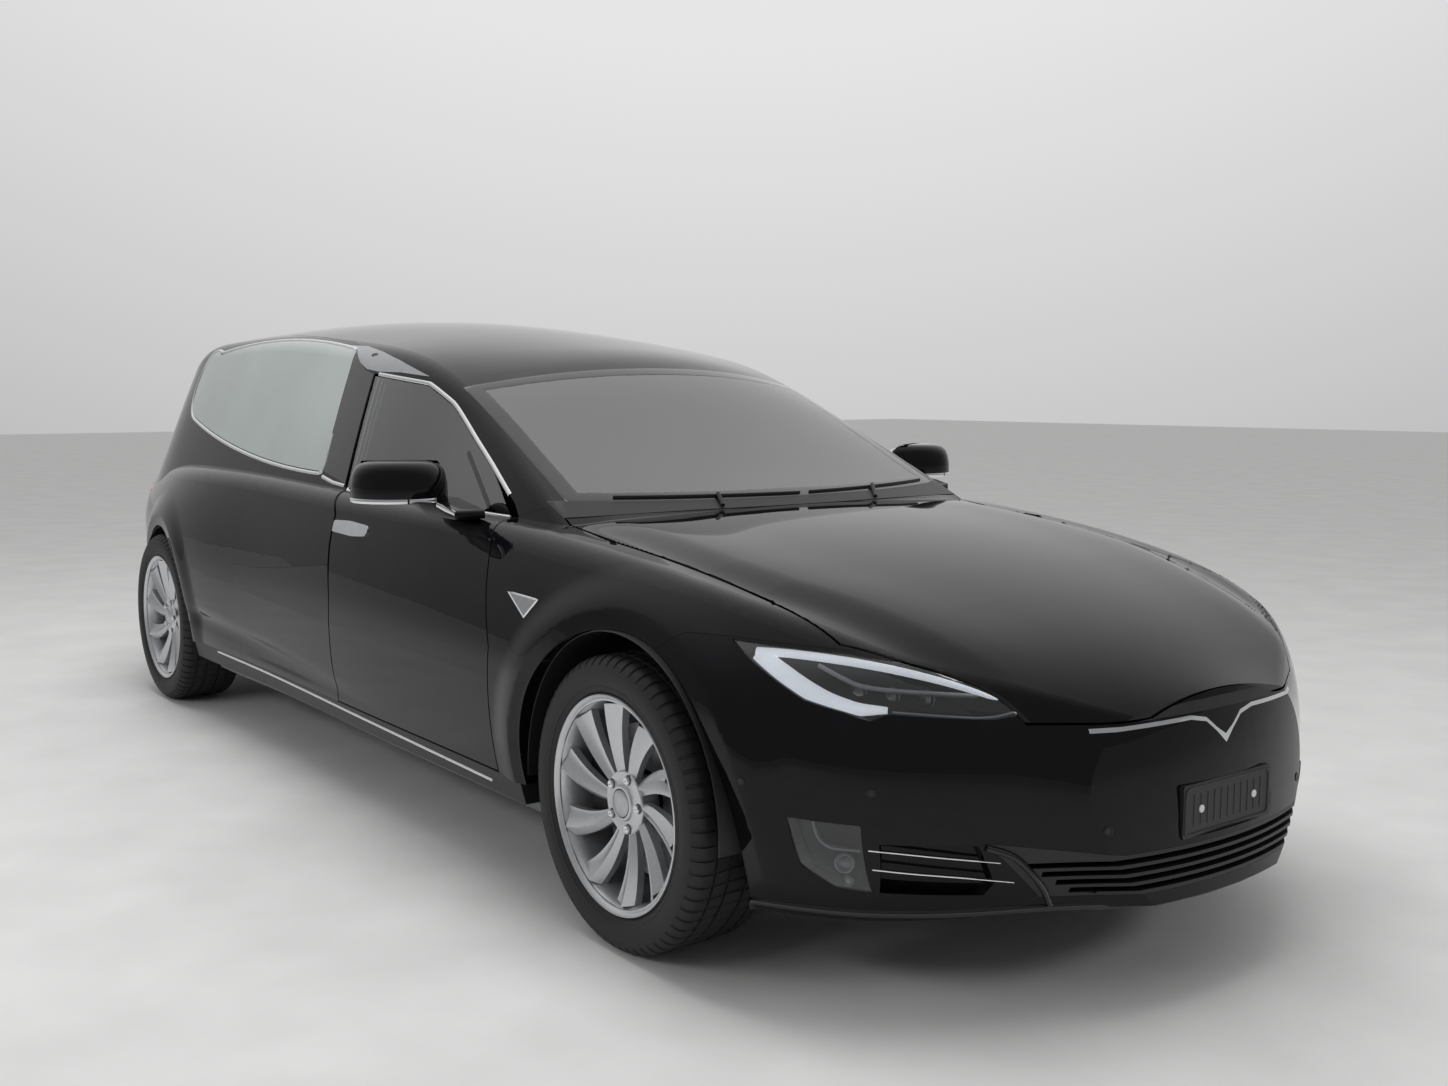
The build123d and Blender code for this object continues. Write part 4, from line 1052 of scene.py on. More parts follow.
def fog_lamps():
    sheet = outer_faces("fog_lamps", FOG_OUT)
    lens = place_pair(thickened(sheet, -FOG_OUT * LENS_SUNK, LENS_THICK), "fog_lamp_lenses", SMOKED)
    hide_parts("fog_lamps")
    place_pair(thickened(sheet, -FOG_OUT * FOG_DEEP, HOUSING_THICK), "fog_lamp_housings", TRIM)
    line = [p - FOG_OUT * FOG_CHROME_DEEP for p in straight([at(*p) for p in FOG_CHROME], 0.01)]
    frames = bar(lying(smoothed(line, 3), FOG_OUT), width=0.010, height=0.008)
    place_pair(frames, "fog_lamp_frames", BRIGHT_MOULDING)
    rounds = []
    for point, radius in FOG_ROUND:
        rings = [(height, radius * share) for height, share in FOG_ROUND_RINGS] + [FOG_ROUND_TIP]
        rounds.append(round_button(at(*point) - FOG_OUT * FOG_ROUND_DEEP, FOG_OUT, rings, 32))
    place_pair(union(rounds), "fog_lamp_reflectors", SATIN)


headlamps()
fog_lamps()


# Nose: grille slot, intake bars and fins, lip and sensors.
SLOT = [
    (-0.372, 0.617), (-0.25, 0.640), (-0.12, 0.647), (0, 0.649), (0.12, 0.647), (0.25, 0.640),
    (0.372, 0.617), (0.25, 0.622), (0, 0.624), (-0.25, 0.622),
]
SLOT_D = 0.9
INTAKE_OUT = Vector((0.75, -0.66, 0)).normalized()
INTAKE_BARS = [
    [(0.652, -0.745, 0.371), (0.696, -0.699, 0.367), (0.746, -0.635, 0.359), (0.812, -0.530, 0.345)],
    [(0.652, -0.733, 0.329), (0.703, -0.677, 0.323), (0.763, -0.594, 0.314), (0.820, -0.497, 0.300)],
]
FIN = [(0.800, -0.560, 0.380), (0.829, -0.506, 0.356), (0.847, -0.450, 0.296), (0.846, -0.415, 0.244)]
LIP_RIGHT = [
    (0.300, -0.843, 0.208), (0.500, -0.795, 0.214), (0.650, -0.690, 0.222), (0.780, -0.520, 0.230),
    (0.885, -0.330, 0.236), (0.962, -0.120, 0.240),
]
LIP_MIDDLE = (0.972, 0, 0.240)
SENSOR_RINGS = [
    (-0.001, 0.0105), (0.0010, 0.0105), (0.0016, 0.0092), (0.0004, 0.0084), (0.0012, 0.0074),
    (0.0014, 0.0002),
]
SENSORS = [(0.662, -0.749, 0.494), (0.931, -0.342, 0.406), (0.435, -0.905, 0.494)]


def nose():
    bumper = search_tree("front_bumper", "nose_strip", "fog_lamps", "headlamps", "lower_grille")
    slot_plate = patch(bumper, SLOT, at(SLOT_D, 0, 0), LEFT, cell=0.03, lift=0.0008, thick=0.002)
    place(slot_plate, "upper_grille_slot", TRIM, "body")
    runs = [lying(curve(points, 0.02), INTAKE_OUT) for points in INTAKE_BARS]
    bars = union(bar(run, width=0.006, height=0.006, sink=0.004) for run in runs)
    place_pair(bars, "intake_bright_bars", CHROME)
    fins = bar(drop_nearest(bumper, curve(FIN, 0.012)), width=0.016, height=0.012)
    place_pair(fins, "intake_fins", GLOSS)
    lip_left = [(d, -y, z) for d, y, z in reversed(LIP_RIGHT)]
    lip_path = drop_nearest(bumper, curve(LIP_RIGHT + [LIP_MIDDLE] + lip_left, 0.02))
    place(bar(lip_path, width=0.020, height=0.011, sink=0.004), "front_lip", GLOSS, "body")
    landed = drop_nearest(bumper, [at(*point) for point in SENSORS])
    buttons = union(round_button(spot, normal, SENSOR_RINGS) for spot, normal in landed)
    place_pair(buttons, "parking_sensors", TRIM)


nose()


# Sides: bright window frames, belt and sill strips, pillar covers, handles and fender markers.
FRAME_WIDE = 0.015
FRAME_HIGH = 0.006
FRAME_OFF = 0.011
# Slanted limits of the frames, as (d, z, lean), and their lowest or highest level.
BAY_EDGE = (-1.955, 1.02, 0.25)
BAY_LOW = 1.03
CANT_EDGE = (-1.80, 1.34, 0.2)
CANT_LOW = 1.0
BELT_TOP = 0.985
BELT_DROP = 0.004
DIVIDER = [(-1.083, -0.738, 1.116), (-0.850, -0.800, 0.975)]
PILLAR_BELT = [(-1.757, 0.984), (-1.860, 0.990), (-1.960, 1.004)]
HANDLE = [
    (-1.668, 0.868), (-1.655, 0.850), (-1.500, 0.846), (-1.402, 0.853), (-1.388, 0.868), (-1.402, 0.886),
    (-1.530, 0.891), (-1.650, 0.886),
]
SILL_STRIP = [(-0.600, 0.270), (-1.538, 0.284), (-2.780, 0.296)]
MARKER = [(-0.500, 0.786), (-0.356, 0.781), (-0.398, 0.735)]
WEDGE = [
    (-2.150, 1.452), (-2.010, 1.446), (-1.850, 1.423), (-1.690, 1.392), (-1.560, 1.362), (-1.460, 1.338),
    (-1.640, 1.352), (-1.800, 1.356), (-1.900, 1.366), (-1.975, 1.390), (-2.050, 1.432),
]
PILLAR = [(-1.757, 0.992), (-1.832, 1.346), (-1.905, 1.362), (-2.046, 1.424), (-1.972, 1.024)]


def edge_at(edge, z):
    """Where a slanted limit stands at a height."""
    d, level, lean = edge
    return d - (z - level) * lean


def framed(node, keep):
    """Path just outside a right-hand window's edge, over the points that keep allows."""
    rim = rounded(rim_of(outer_faces(node, RIGHT)), 0.012, 8)
    out = inset(rim, -FRAME_OFF, RIGHT)
    count = len(rim)
    allowed = [keep(p.x - AXLE_X, p.z) for p in out]
    first = next(i for i in range(count) if allowed[i] and not allowed[i - 1])
    turned = [(i + first) % count for i in range(count)]
    return [out[i] for i in turned if allowed[i]]


def side_patch(tree, outline, cell, lift, thick):
    return patch(tree, outline, at(0, 0, 0), FORWARD, cell, lift, thick)


def sides():
    body = search_tree("body_side_right", "roof", "door_right", "fenders", "rear_door_panels", "sills")
    door = search_tree("door_right")
    bay = framed("side_windows", lambda d, z: d < edge_at(BAY_EDGE, z) or z < BAY_LOW)
    frames = bar(drop_nearest(body, bay), FRAME_WIDE, FRAME_HIGH)
    place_pair(frames, "casket_window_frames", CHROME)
    cant = framed("door_window_right", lambda d, z: z > CANT_LOW and d > edge_at(CANT_EDGE, z))
    frames = bar(drop_nearest(body, cant), FRAME_WIDE, FRAME_HIGH)
    place_pair(frames, "door_window_frames", CHROME)
    belt = [p - UPWARD * BELT_DROP for p in framed("door_window_right", lambda d, z: z < BELT_TOP)]
    strip = bar(drop_nearest(door, belt), FRAME_WIDE, FRAME_HIGH)
    place_sides(strip, "door_belt_strip", CHROME, "door")
    line = straight([at(*p) for p in DIVIDER], 0.02)
    divider = bar(drop_nearest(search_tree("door_window_right"), line), width=0.022, height=0.003)
    place_sides(divider, "door_window_divider", GLOSS, "door")
    strip = bar(drop_on_side(body, PILLAR_BELT, 0.02), FRAME_WIDE, FRAME_HIGH)
    place_pair(strip, "pillar_belt_strips", CHROME)
    strip = bar(drop_on_side(body, SILL_STRIP, 0.03, spread=flowing), width=0.010, height=0.005)
    place_pair(strip, "sill_bright_strips", CHROME)
    wedge = side_patch(body, WEDGE, cell=0.03, lift=0.0025, thick=0.004)
    place_pair(wedge, "roof_wedge_trims", SATIN)
    pillar = side_patch(body, PILLAR, cell=0.03, lift=0.0015, thick=0.003)
    place_pair(pillar, "pillar_covers", GLOSS)
    outline = rounded([Vector((d, z, 0)) for d, z in HANDLE], 0.006, 4)
    handle = side_patch(door, [(p.x, p.y) for p in outline], cell=0.012, lift=0.004, thick=0.006)
    place_sides(handle, "door_handle", CHROME, "door")
    marker = side_patch(body, MARKER, cell=0.02, lift=0.002, thick=0.003)
    place_pair(marker, "fender_markers", SATIN)
    edge = drop_on_side(body, MARKER + MARKER[:1], 0.008)[:-1]
    place_pair(bar(edge, width=0.007, height=0.005, closed=True), "fender_marker_frames", CHROME)


sides()

# Windshield: printed border, wipers, sensor housing and inner mirror.
GLASS_OUT = Vector((0.45, 0, 0.89)).normalized()
BORDER_WIDE = 0.05
BORDER_HIGH = 0.0008
WIPERS = [(0.63, 0.06), (0.02, -0.56)]
WIPER_STEPS = 24
WIPER_ARMS = [(0.30, 0.34), (-0.28, -0.26)]
WIPER_FOOT = (-0.445, 0.99)
WIPER_FOOT_UP = 0.004
WIPER_TIP_UP = 0.010
WIPER_OUT = (0.2, 0, 1)
RAIN_SENSOR = [(-1.185 + 0.02 * i, 0, 1.36 - 0.01 * i) for i in range(8)]
RAIN_SENSOR_DEEP = 0.012
RAIN_SENSOR_WIDE = (0.19, 0.16, 0.09)
INNER_MIRROR = (-1.085, 0, 1.240)
INNER_MIRROR_UP = Vector((0.2, 0, 1))
INNER_MIRROR_SIZE = (0.24, 0.062, 0.022)
INNER_MIRROR_CORNER = 0.028


def screen_base(y):
    """Point a little above the windshield's lower edge."""
    return at(-0.482 - 0.142 * (y / 0.69) ** 2 - 0.004, y, 0.985 + 0.03 * abs(y))


def windshield():
    pane = search_tree("windshield")
    rim = evenly(rim_of(outer_faces("windshield", GLASS_OUT, whole=True)), 0.02, closed=True)
    line = smoothed(inset(rim, BORDER_WIDE / 2, GLASS_OUT), 3, closed=True)
    border = bar(drop_nearest(pane, line), BORDER_WIDE, BORDER_HIGH, sink=0, closed=True)
    place(border, "windshield_border", GLOSS, "body")
    blades = []
    for start, end in WIPERS:
        line = [screen_base(start + (end - start) * i / WIPER_STEPS) for i in range(WIPER_STEPS + 1)]
        blades.append(bar(drop_nearest(pane, line), width=0.009, height=0.010))
    foot_d, foot_z = WIPER_FOOT
    scuttle = search_tree("cowl", "hood")
    for y, tip in WIPER_ARMS:
        spot, normal = drop_nearest(pane, [screen_base(tip)])[0]
        foot = drop_nearest(scuttle, [at(foot_d, y, foot_z)])[0][0]
        line = straight([foot + UPWARD * WIPER_FOOT_UP, spot + normal * WIPER_TIP_UP], 0.03)
        blades.append(bar(lying(line, WIPER_OUT), width=0.013, height=0.008))
    place(union(blades), "wipers", TRIM, "body")
    path = drop_nearest(pane, [at(*p) for p in RAIN_SENSOR])
    path = [(spot - normal * RAIN_SENSOR_DEEP, normal) for spot, normal in path]
    housing = bar(path, widths_along(path, RAIN_SENSOR_WIDE), 0.010)
    place(housing, "rain_sensor_housing", TRIM, "body")
    glass = slab(at(*INNER_MIRROR), LEFT, INNER_MIRROR_UP, INNER_MIRROR_SIZE, INNER_MIRROR_CORNER)
    place(glass, "inner_mirror", GLOSS, "body")


windshield()


# Mirrors: shell, arm, bright strips and the glass behind.
MIRROR_ARC = [(-0.990, -0.850), (-0.866, -0.962), (-1.120, -1.075)]
MIRROR_LOW = 0.988
MIRROR_INSET = 0.008
MIRROR_RINGS = [
    (0.000, 0.012), (0.005, 0.003), (0.014, 0.000), (0.050, 0.001), (0.075, 0.005), (0.092, 0.012),
    (0.104, 0.023), (0.111, 0.038), (0.114, 0.058),
]
MIRROR_BACK = Vector((-0.866, 0.5, 0))
MIRROR_GLASS = (-1.055, -0.9625, 1.046)
MIRROR_GLASS_SUNK = 0.001
MIRROR_GLASS_SIZE = (0.165, 0.078, 0.006)
MIRROR_GLASS_CORNER = 0.03
MIRROR_ARM = [
    (-0.768, 0.948), (-0.960, 0.950), (-1.040, 0.974), (-1.040, 0.998), (-0.940, 0.998), (-0.768, 0.972),
]
ARM_INNER = -0.850
ARM_OUTER = -0.938
ARM_RINGS = [(ARM_INNER, 0.0), (ARM_OUTER + 0.006, 0.0), (ARM_OUTER + 0.002, 0.002), (ARM_OUTER, 0.006)]
STRIP_UP = 0.008
STRIP_BACK = 0.3
STRIP_HIGH = 0.004
FOOT_STRIP = [(-0.880, 0.984), (-0.830, 0.976), (-0.772, 0.966)]
FOOT_STRIP_OUT = 0.001


def arc_through(a, b, c, count):
    """Points on the level circle arc from a through b to c."""
    size = [p.x**2 + p.y**2 for p in (a, b, c)]
    twice = 2 * (a.x * (b.y - c.y) + b.x * (c.y - a.y) + c.x * (a.y - b.y))
    x = (size[0] * (b.y - c.y) + size[1] * (c.y - a.y) + size[2] * (a.y - b.y)) / twice
    y = (size[0] * (c.x - b.x) + size[1] * (a.x - c.x) + size[2] * (b.x - a.x)) / twice
    middle = Vector((x, y, a.z))
    sweep = 0
    for p, q in ((a, b), (b, c)):
        sweep += (p - middle).xy.angle_signed((q - middle).xy)
    return [middle + Matrix.Rotation(-sweep * i / count, 3, "Z") @ (a - middle) for i in range(count + 1)]


def mirrors():
    arc = arc_through(*[at(d, y, MIRROR_LOW) for d, y in MIRROR_ARC], 48)
    plan = inset(rounded(arc, 0.006, 16), MIRROR_INSET, UPWARD)
    shell = stacked([[p + UPWARD * high for p in inset(plan, off, UPWARD)] for high, off in MIRROR_RINGS])
    side = rounded([at(d, 0, z) for d, z in MIRROR_ARM], 0.006, 4)
    arm = stacked([[p + LEFT * y for p in inset(side, off, RIGHT)] for y, off in ARM_RINGS])
    for made in place_sides(union([shell, arm]), "mirror_shell", PAINT, "door"):
        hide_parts(made.name.replace("_shell", ""))
    middle = middle_of(arc)
    run = [(p + UPWARD * STRIP_UP, (p - middle).normalized()) for p in plan if p.y < ARM_OUTER]
    run = [(p, out) for p, out in run if out.dot(MIRROR_BACK) < STRIP_BACK]
    run.sort(key=lambda pair: pair[1].xy.angle_signed(-FORWARD.xy))
    place_sides(bar(run, 0.014, STRIP_HIGH), "mirror_strip", CHROME, "door")
    foot = lying([at(d, ARM_OUTER - FOOT_STRIP_OUT, z) for d, z in FOOT_STRIP], RIGHT)
    foot_strip = bar(foot, [0.014, 0.018, 0.012], STRIP_HIGH)
    place_sides(foot_strip, "mirror_foot_strip", CHROME, "door")
    spot = at(*MIRROR_GLASS) - MIRROR_BACK * MIRROR_GLASS_SUNK
    pane = slab(spot, UPWARD.cross(MIRROR_BACK), UPWARD, MIRROR_GLASS_SIZE, MIRROR_GLASS_CORNER)
    place_sides(pane, "mirror_glass", CHROME, "door")


mirrors()


# Front plate holder: raised frame, ribs and two screws, without a plate.
HOLDER_FRAME = [(-0.150, -0.050), (0.150, -0.050), (0.150, 0.050), (-0.150, 0.050)]
RIB_PITCH = 0.024
RIB_LEVELS = (-0.034, 0, 0.034)
RIBS = range(-5, 6)
SCREW_Y = 0.095
SCREW_RINGS = [(0, 0.0085), (0.002, 0.0085), (0.0032, 0.006), (0.0034, 0.003), (0.002, 0.0002)]


def plate_details():
    low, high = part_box("plate_holder")
    middle = Vector((high.x, 0, (low.z + high.z) / 2))
    frame_line = rounded([middle + Vector((0, y, z)) for y, z in HOLDER_FRAME], 0.01, 2)
    ribs = [bar(lying(frame_line, FORWARD), width=0.007, height=0.003, sink=0.0005, closed=True)]
    for k in RIBS:
        line = [middle + Vector((0, RIB_PITCH * k, z)) for z in RIB_LEVELS]
        ribs.append(bar(lying(line, FORWARD), width=0.004, height=0.0018, sink=0.0004))
    place(union(ribs), "plate_holder_ribs", TRIM, "body")
    screws = union(round_button(middle + LEFT * y, FORWARD, SCREW_RINGS) for y in (-SCREW_Y, SCREW_Y))
    place(screws, "plate_screws", WHITE_PLASTIC, "body")


plate_details()


# Rear: window pane, lamp bars, bright strip, blank plate panel, valance, reflectors and sensors.
REAR_D = -4.0
GATE_OUT = Vector((-0.7, 0, 0.7)).normalized()
PANE_LEAST_OUT = 0.9
PANE_SHARE = 0.995
REAR_STRIP_Z = 0.957
REAR_STRIP_HALF = 0.525
HIGH_LAMP_Z = 1.475
HIGH_LAMP_HALF = 0.20
TAIL_BARS = [0.835, 0.865, 0.895]
TAIL_BARS_HALF = 0.80
VALANCE = [(-0.60, 0.330), (-0.50, 0.400), (0.50, 0.400), (0.60, 0.330), (0.45, 0.312), (-0.45, 0.312)]
REAR_PLATE = [(-0.27, 0.715), (-0.27, 0.845), (0.27, 0.845), (0.27, 0.715)]
REFLECTOR = [(-0.74, 0.452), (-0.74, 0.474), (-0.58, 0.474), (-0.58, 0.452)]
REAR_SENSORS = [(y, 0.52) for y in (-0.62, -0.24, 0.24, 0.62)]
SENSOR_SUNK = 0.0016


def back_patch(tree, outline, cell, lift, thick):
    return patch(tree, outline, at(REAR_D, 0, 0), RIGHT, cell, lift, thick)


def drop_on_back(tree, points):
    """Where (y, z) points land on the back, as (place, normal) pairs."""
    return cast(tree, [at(REAR_D - OUTSIDE, y, z) for y, z in points], FORWARD)


def across_back(tree, half, z, step=0.02):
    """Level line over the back, as (place, normal) pairs."""
    count = round(2 * half / step)
    return drop_on_back(tree, [(half - 2 * half * i / count, z) for i in range(count + 1)])


def tail_glass():
    """One smooth pane over the outer face of the tailgate's window."""
    sheet = outer_faces("tailgate_window", GATE_OUT, least=PANE_LEAST_OUT, whole=True)
    tree = BVHTree.FromPolygons(sheet.verts, sheet.faces)
    rim = evenly(rim_of(sheet), 0.01, closed=True)
    middle = middle_of(rim)
    outline = [(-p.y, p.z) for p in (middle.lerp(point, PANE_SHARE) for point in rim)]
    pane = back_patch(tree, outline, cell=0.025, lift=0, thick=0.005)
    made = place(pane, "tailgate_window_pane", PRIVACY, "tailgate")
    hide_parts("tailgate_window")


def rear():
    gate = search_tree("tailgate")
    back = search_tree("tailgate", "rear_bumper", "body_side_right", "body_side_left", "tail_lamps")
    strip = bar(across_back(gate, REAR_STRIP_HALF, REAR_STRIP_Z), width=0.016, height=0.006)
    place(strip, "tailgate_strip", CHROME, "tailgate")
    panel = back_patch(gate, REAR_PLATE, cell=0.03, lift=0.006, thick=0.008)
    place(panel, "rear_plate_panel", TRIM, "tailgate")
    high_lamp = bar(across_back(gate, HIGH_LAMP_HALF, HIGH_LAMP_Z), width=0.016, height=0.006)
    place(high_lamp, "high_brake_lamp", RED_LAMP, "tailgate")
    valance = back_patch(back, VALANCE, cell=0.03, lift=0.0004, thick=0.003)
    place(valance, "rear_valance", TRIM, "body")
    outlines = (REFLECTOR, [(-y, z) for y, z in reversed(REFLECTOR)])
    lights = [back_patch(back, outline, cell=0.01, lift=0.003, thick=0.006) for outline in outlines]
    place(union(lights), "rear_reflectors", RED_LAMP, "body")
    landed = drop_on_back(back, REAR_SENSORS)
    buttons = union(round_button(spot - out * SENSOR_SUNK, out, SENSOR_RINGS) for spot, out in landed)
    place(buttons, "rear_parking_sensors", TRIM, "body")
    lamp = search_tree("tail_lamps")
    runs = [[p for p in across_back(lamp, TAIL_BARS_HALF, z, 0.015) if p[0].y < 0] for z in TAIL_BARS]
    place_pair(union(bar(run, 0.012, 0.004) for run in runs), "tail_lamp_bars", LIT_RED)


tail_glass()
rear()


# Seats: pads fused into one cover, shells behind them and posts under the headrests.
PAD_ROWS = 28
PAD_COLUMNS = 56
PAD_CROWN = 0.16
PAD_PINCH = 0.05
PAD_BLUNT = 0.45
PAD_FLAT = 0.55
PUFF_VOXEL = 0.006
PUFF_QUALITY = 3
PUFF_PRESSURE = 4.0
PUFF_FRAMES = 20
PUFF_CAP = 0.010
CHANNEL_DEEP = 0.008
CHANNEL_WIDE = 0.007
CHANNEL_FADE = 6
SEAT_Y = -0.385
SEAT_UP = Vector((0.10, 0, 1)).normalized()
SEAT_ALONG = Vector((1, 0, -0.10)).normalized()
BACK_UP = Vector((-0.30, 0, 1)).normalized()
BACK_OUT = Vector((1, 0, 0.30)).normalized()
SEAT_AT = at(-1.225, SEAT_Y, 0.492)
BACK_AT = at(-1.520, SEAT_Y, 0.800)
HEAD_AT = at(-1.638, SEAT_Y, 1.112)
SEAT_HALF = (0.228, 0.160, 0.056)
SEAT_SIDE_HALF = (0.228, 0.048, 0.062)
SEAT_SIDE_Y = 0.195
SEAT_SIDE_UP = 0.012
BACK_HALF = (0.268, 0.150, 0.050)
BACK_SIDE_HALF = (0.228, 0.046, 0.058)
BACK_SIDE_Y = 0.190
BACK_SIDE_AHEAD = 0.02
BACK_SIDE_DOWN = 0.03
HEAD_HALF = (0.064, 0.124, 0.041)
SEAT_CHANNELS = (-0.12, -0.04, 0.04, 0.12)
BACK_CHANNELS = (-0.16, -0.08, 0, 0.08, 0.16)
PLINTH_AT = at(-1.245, SEAT_Y, 0.360)
PLINTH_SIZE = (0.46, 0.40, 0.135)
PLINTH_CORNER = 0.04
SHELL_BEHIND = 0.058
SHELL_SIZE = (0.46, 0.58, 0.03)
SHELL_CORNER = 0.10
POST_OFF = 0.05
POST = [(-1.606, 1.00), (-1.632, 1.10)]


def bulged(value, power):
    """A number between -1 and 1 raised to a power, with its sign kept."""
    return math.copysign(abs(value) ** power, value)


def pad(middle, along, up, half):
    """Plain stuffing: a closed crowned form whose sides pull in between its corners."""
    across = up.cross(along).normalized()
    up = along.cross(across).normalized()
    rings = []
    for i in range(PAD_ROWS):
        lat = math.pi * ((i + 0.5) / PAD_ROWS - 0.5)
        flat = math.cos(lat) ** PAD_BLUNT
        high = bulged(math.sin(lat), PAD_FLAT)
        ring = []
        for j in range(PAD_COLUMNS):
            lon = 2 * math.pi * j / PAD_COLUMNS
            x = flat * bulged(math.cos(lon), PAD_BLUNT)
            y = flat * bulged(math.sin(lon), PAD_BLUNT)
            z = high * (1 + PAD_CROWN * (1 - x * x) * (1 - y * y))
            px = x * (1 - PAD_PINCH * (1 - y * y)) * half[0]
            py = y * (1 - PAD_PINCH * (1 - x * x)) * half[1]
            ring.append(middle + along * px + across * py + up * z * half[2])
        rings.append(ring)
    return stacked(rings)


def puffed(shape):
    """Pads fused into one cover and blown up as cloth, with no point moved further than the cap."""
    scene = bpy.context.scene
    mesh = bpy.data.meshes.new("cover")
    mesh.from_pydata(shape.verts, [], shape.faces)
    cover = bpy.data.objects.new("cover", mesh)
    scene.collection.objects.link(cover)
    fused = cover.modifiers.new("fused", "REMESH")
    fused.mode = "VOXEL"
    fused.voxel_size = PUFF_VOXEL
    cover.data = bpy.data.meshes.new_from_object(cover.evaluated_get(bpy.context.evaluated_depsgraph_get()))
    cover.modifiers.clear()
    before = points_of(cover.data)
    cloth = cover.modifiers.new("cloth", "CLOTH")
    cloth.settings.quality = PUFF_QUALITY
    cloth.settings.use_pressure = True
    cloth.settings.uniform_pressure_force = PUFF_PRESSURE
    cloth.settings.effector_weights.gravity = 0
    for number in range(1, PUFF_FRAMES + 1):
        scene.frame_set(number)
    moved = points_of(cover.evaluated_get(bpy.context.evaluated_depsgraph_get()).data) - before
    scene.frame_set(1)
    length = np.linalg.norm(moved, axis=1, keepdims=True)
    blown = before + moved * np.minimum(1, PUFF_CAP / np.maximum(length, 1e-9))
    made = Shape(blown.tolist(), [list(face.vertices) for face in cover.data.polygons])
    bpy.data.objects.remove(cover)
    return made


def sewn(shape, middle, along, up, half, channels):
    """The same cover with sewn channels pulled in across one of its pads."""
    across = up.cross(along).normalized()
    local = np.array(shape.verts) - np.array(middle)
    x, y, z = (local @ np.array(axis) for axis in (along, across, up))
    inside = (np.abs(x) < half[0]) & (np.abs(y) < half[1]) & (z > 0) & (z < 2 * half[2])
    deep = sum(CHANNEL_DEEP * np.exp(-(((x - c) / CHANNEL_WIDE) ** 2)) for c in channels)
    deep = deep * inside * (1 - np.clip(np.abs(y) / half[1], 0, 1) ** CHANNEL_FADE)
    return Shape((np.array(shape.verts) - deep[:, None] * np.array(up)).tolist(), shape.faces)


def seats():
    pads = [pad(SEAT_AT, SEAT_ALONG, SEAT_UP, SEAT_HALF), pad(BACK_AT, BACK_UP, BACK_OUT, BACK_HALF)]
    for side in (-1, 1):
        bolster = SEAT_AT + Vector((0, side * SEAT_SIDE_Y, SEAT_SIDE_UP))
        pads.append(pad(bolster, SEAT_ALONG, SEAT_UP, SEAT_SIDE_HALF))
        wing = BACK_AT + Vector((BACK_SIDE_AHEAD, side * BACK_SIDE_Y, 0)) - BACK_UP * BACK_SIDE_DOWN
        pads.append(pad(wing, BACK_UP, BACK_OUT, BACK_SIDE_HALF))
    form = union(pads + [pad(HEAD_AT, BACK_UP, BACK_OUT, HEAD_HALF)])
    form = puffed(form)
    form = sewn(form, SEAT_AT, SEAT_ALONG, SEAT_UP, SEAT_HALF, SEAT_CHANNELS)
    form = sewn(form, BACK_AT, BACK_UP, BACK_OUT, BACK_HALF, BACK_CHANNELS)
    made = place_pair(form, "seat_pads", LEATHER)
    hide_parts("seats")
    plinth = slab(PLINTH_AT, FORWARD, LEFT, PLINTH_SIZE, PLINTH_CORNER)
    back_shell = slab(BACK_AT - BACK_OUT * SHELL_BEHIND, LEFT, BACK_UP, SHELL_SIZE, SHELL_CORNER)
    posts = []
    for off in (-POST_OFF, POST_OFF):
        line = straight([at(d, SEAT_Y + off, z) for d, z in POST], 0.02)
        posts.append(bar(lying(line, FORWARD), width=0.012, height=0.012, sink=0.006))
    place_pair(union([plinth, back_shell]), "seat_shells", TRIM)
    place_pair(union(posts), "headrest_posts", SATIN)


# Screens on the dashboard: name, place, size and corner.
SCREEN_UP = Vector((0.42, 0, 1)).normalized()
SCREENS = [
    ("centre_screen", (-0.925, 0, 0.855), (0.235, 0.350, 0.022), 0.012),
    ("instrument_screen", (-0.905, 0.385, 0.925), (0.30, 0.10, 0.02), 0.02),
]


def dash():
    for name, spot, size, corner in SCREENS:
        place(slab(at(*spot), RIGHT, SCREEN_UP, size, corner), name, GLOSS, "body")


seats()
dash()


# Aprons: pressed panels that close the front wheel wells on their inner side, clear of the steered tyres.
APRON_RADIUS = 0.412
APRON_LOW = 0.280
APRON_STEPS = 40
APRON_RINGS = [(-0.482, 0.0), (-0.486, 0.0), (-0.486, 0.022), (-0.498, 0.040)]


def aprons():
    turns = [math.pi * i / APRON_STEPS for i in range(APRON_STEPS + 1)]
    edge = [Vector((APRON_RADIUS * math.cos(a), 0, APRON_RADIUS * math.sin(a))) for a in turns]
    edge += [Vector((x, 0, APRON_LOW - FRONT_WHEEL.z)) for x in (-APRON_RADIUS, APRON_RADIUS)]
    axle = at(0, 0, FRONT_WHEEL.z)
    rings = [[axle + p * (1 - off / APRON_RADIUS) + LEFT * y for p in edge] for y, off in APRON_RINGS]
    place_pair(stacked(rings), "wheel_well_aprons", TRIM)


aprons()


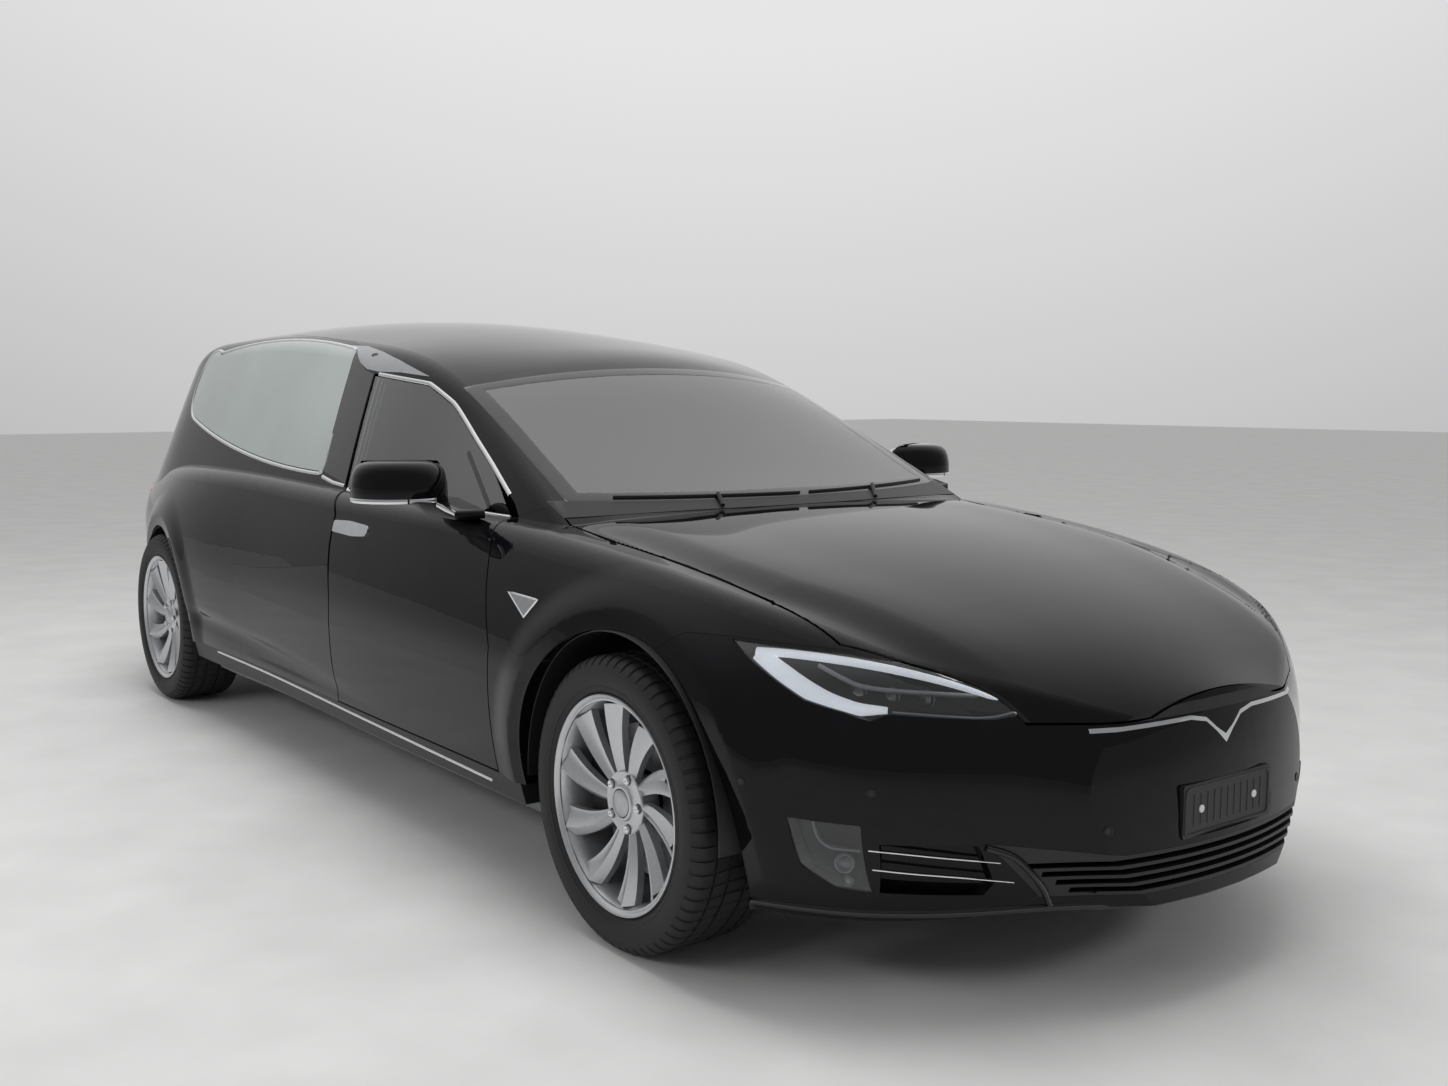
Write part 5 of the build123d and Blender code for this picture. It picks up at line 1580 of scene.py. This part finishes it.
# Studio. Lights: name, place, target, size and power.
CAMERA_AT = (4.4885, -2.684, 1.302)
LOOKS_ALONG = (-0.7933, 0.5995, -0.1070)
LENS_MM = 35.82
SENSOR_MM = 36.0
FLOOR_REACH = 40.0
BRIGHT_SIDE = (-0.52, 0.40, 0.75)
SKY_STOPS = [(0.0, 0.24), (0.25, 0.26), (0.45, 0.40), (0.65, 0.62), (0.8, 0.78), (1.0, 0.95)]
LIGHTS = [
    ("overhead", (0.2, -0.6, 5.5), (0, 0, 0), (7.0, 2.2), 170),
    ("right_side", (1.0, -7.0, 4.2), (0, 0, 0.8), (6.0, 1.0), 110),
    ("front", (7.5, 1.5, 3.8), (1.5, 0, 0.6), (3.5, 0.9), 60),
]


def aimed(name, data, spot, direction):
    """A camera or light at a place, looking along a direction."""
    made = bpy.data.objects.new(name, data)
    made.location = spot
    made.rotation_euler = direction.to_track_quat("-Z", "Y").to_euler()
    bpy.context.scene.collection.objects.link(made)
    return made


def studio():
    scene = bpy.context.scene
    scene.view_settings.view_transform = "Standard"
    floor_mesh = bpy.data.meshes.new("floor")
    corners = [(x * FLOOR_REACH, y * FLOOR_REACH, 0) for x, y in ((-1, -1), (1, -1), (1, 1), (-1, 1))]
    floor_mesh.from_pydata(corners, [], [[0, 1, 2, 3]])
    floor_mesh.materials.append(FLOOR)
    floor = bpy.data.objects.new("floor", floor_mesh)
    scene.collection.objects.link(floor)
    camera = bpy.data.cameras.new("camera")
    camera.lens = LENS_MM
    camera.sensor_width = SENSOR_MM
    scene.camera = aimed("camera", camera, CAMERA_AT, Vector(LOOKS_ALONG))
    world = bpy.data.worlds.new("studio")
    scene.world = world
    world.use_nodes = True
    tree = world.node_tree
    link = tree.links.new
    coords = tree.nodes.new("ShaderNodeTexCoord")
    facing = tree.nodes.new("ShaderNodeVectorMath")
    facing.operation = "DOT_PRODUCT"
    facing.inputs[1].default_value = BRIGHT_SIDE
    link(coords.outputs["Generated"], facing.inputs[0])
    ramp = tree.nodes.new("ShaderNodeValToRGB")
    while len(ramp.color_ramp.elements) < len(SKY_STOPS):
        ramp.color_ramp.elements.new(0.5)
    for element, (position, level) in zip(ramp.color_ramp.elements, SKY_STOPS):
        element.position = position
        element.color = (level, level, level, 1)
    link(facing.outputs["Value"], ramp.inputs["Fac"])
    link(ramp.outputs["Color"], tree.nodes["Background"].inputs["Color"])
    tree.nodes["Background"].inputs["Strength"].default_value = 1.0
    for name, spot, target, size, power in LIGHTS:
        light = bpy.data.lights.new(name, "AREA")
        light.shape = "RECTANGLE"
        light.size, light.size_y = size
        light.energy = power
        lamp = aimed(name, light, spot, Vector(target) - Vector(spot))
        lamp.visible_glossy = False


studio()
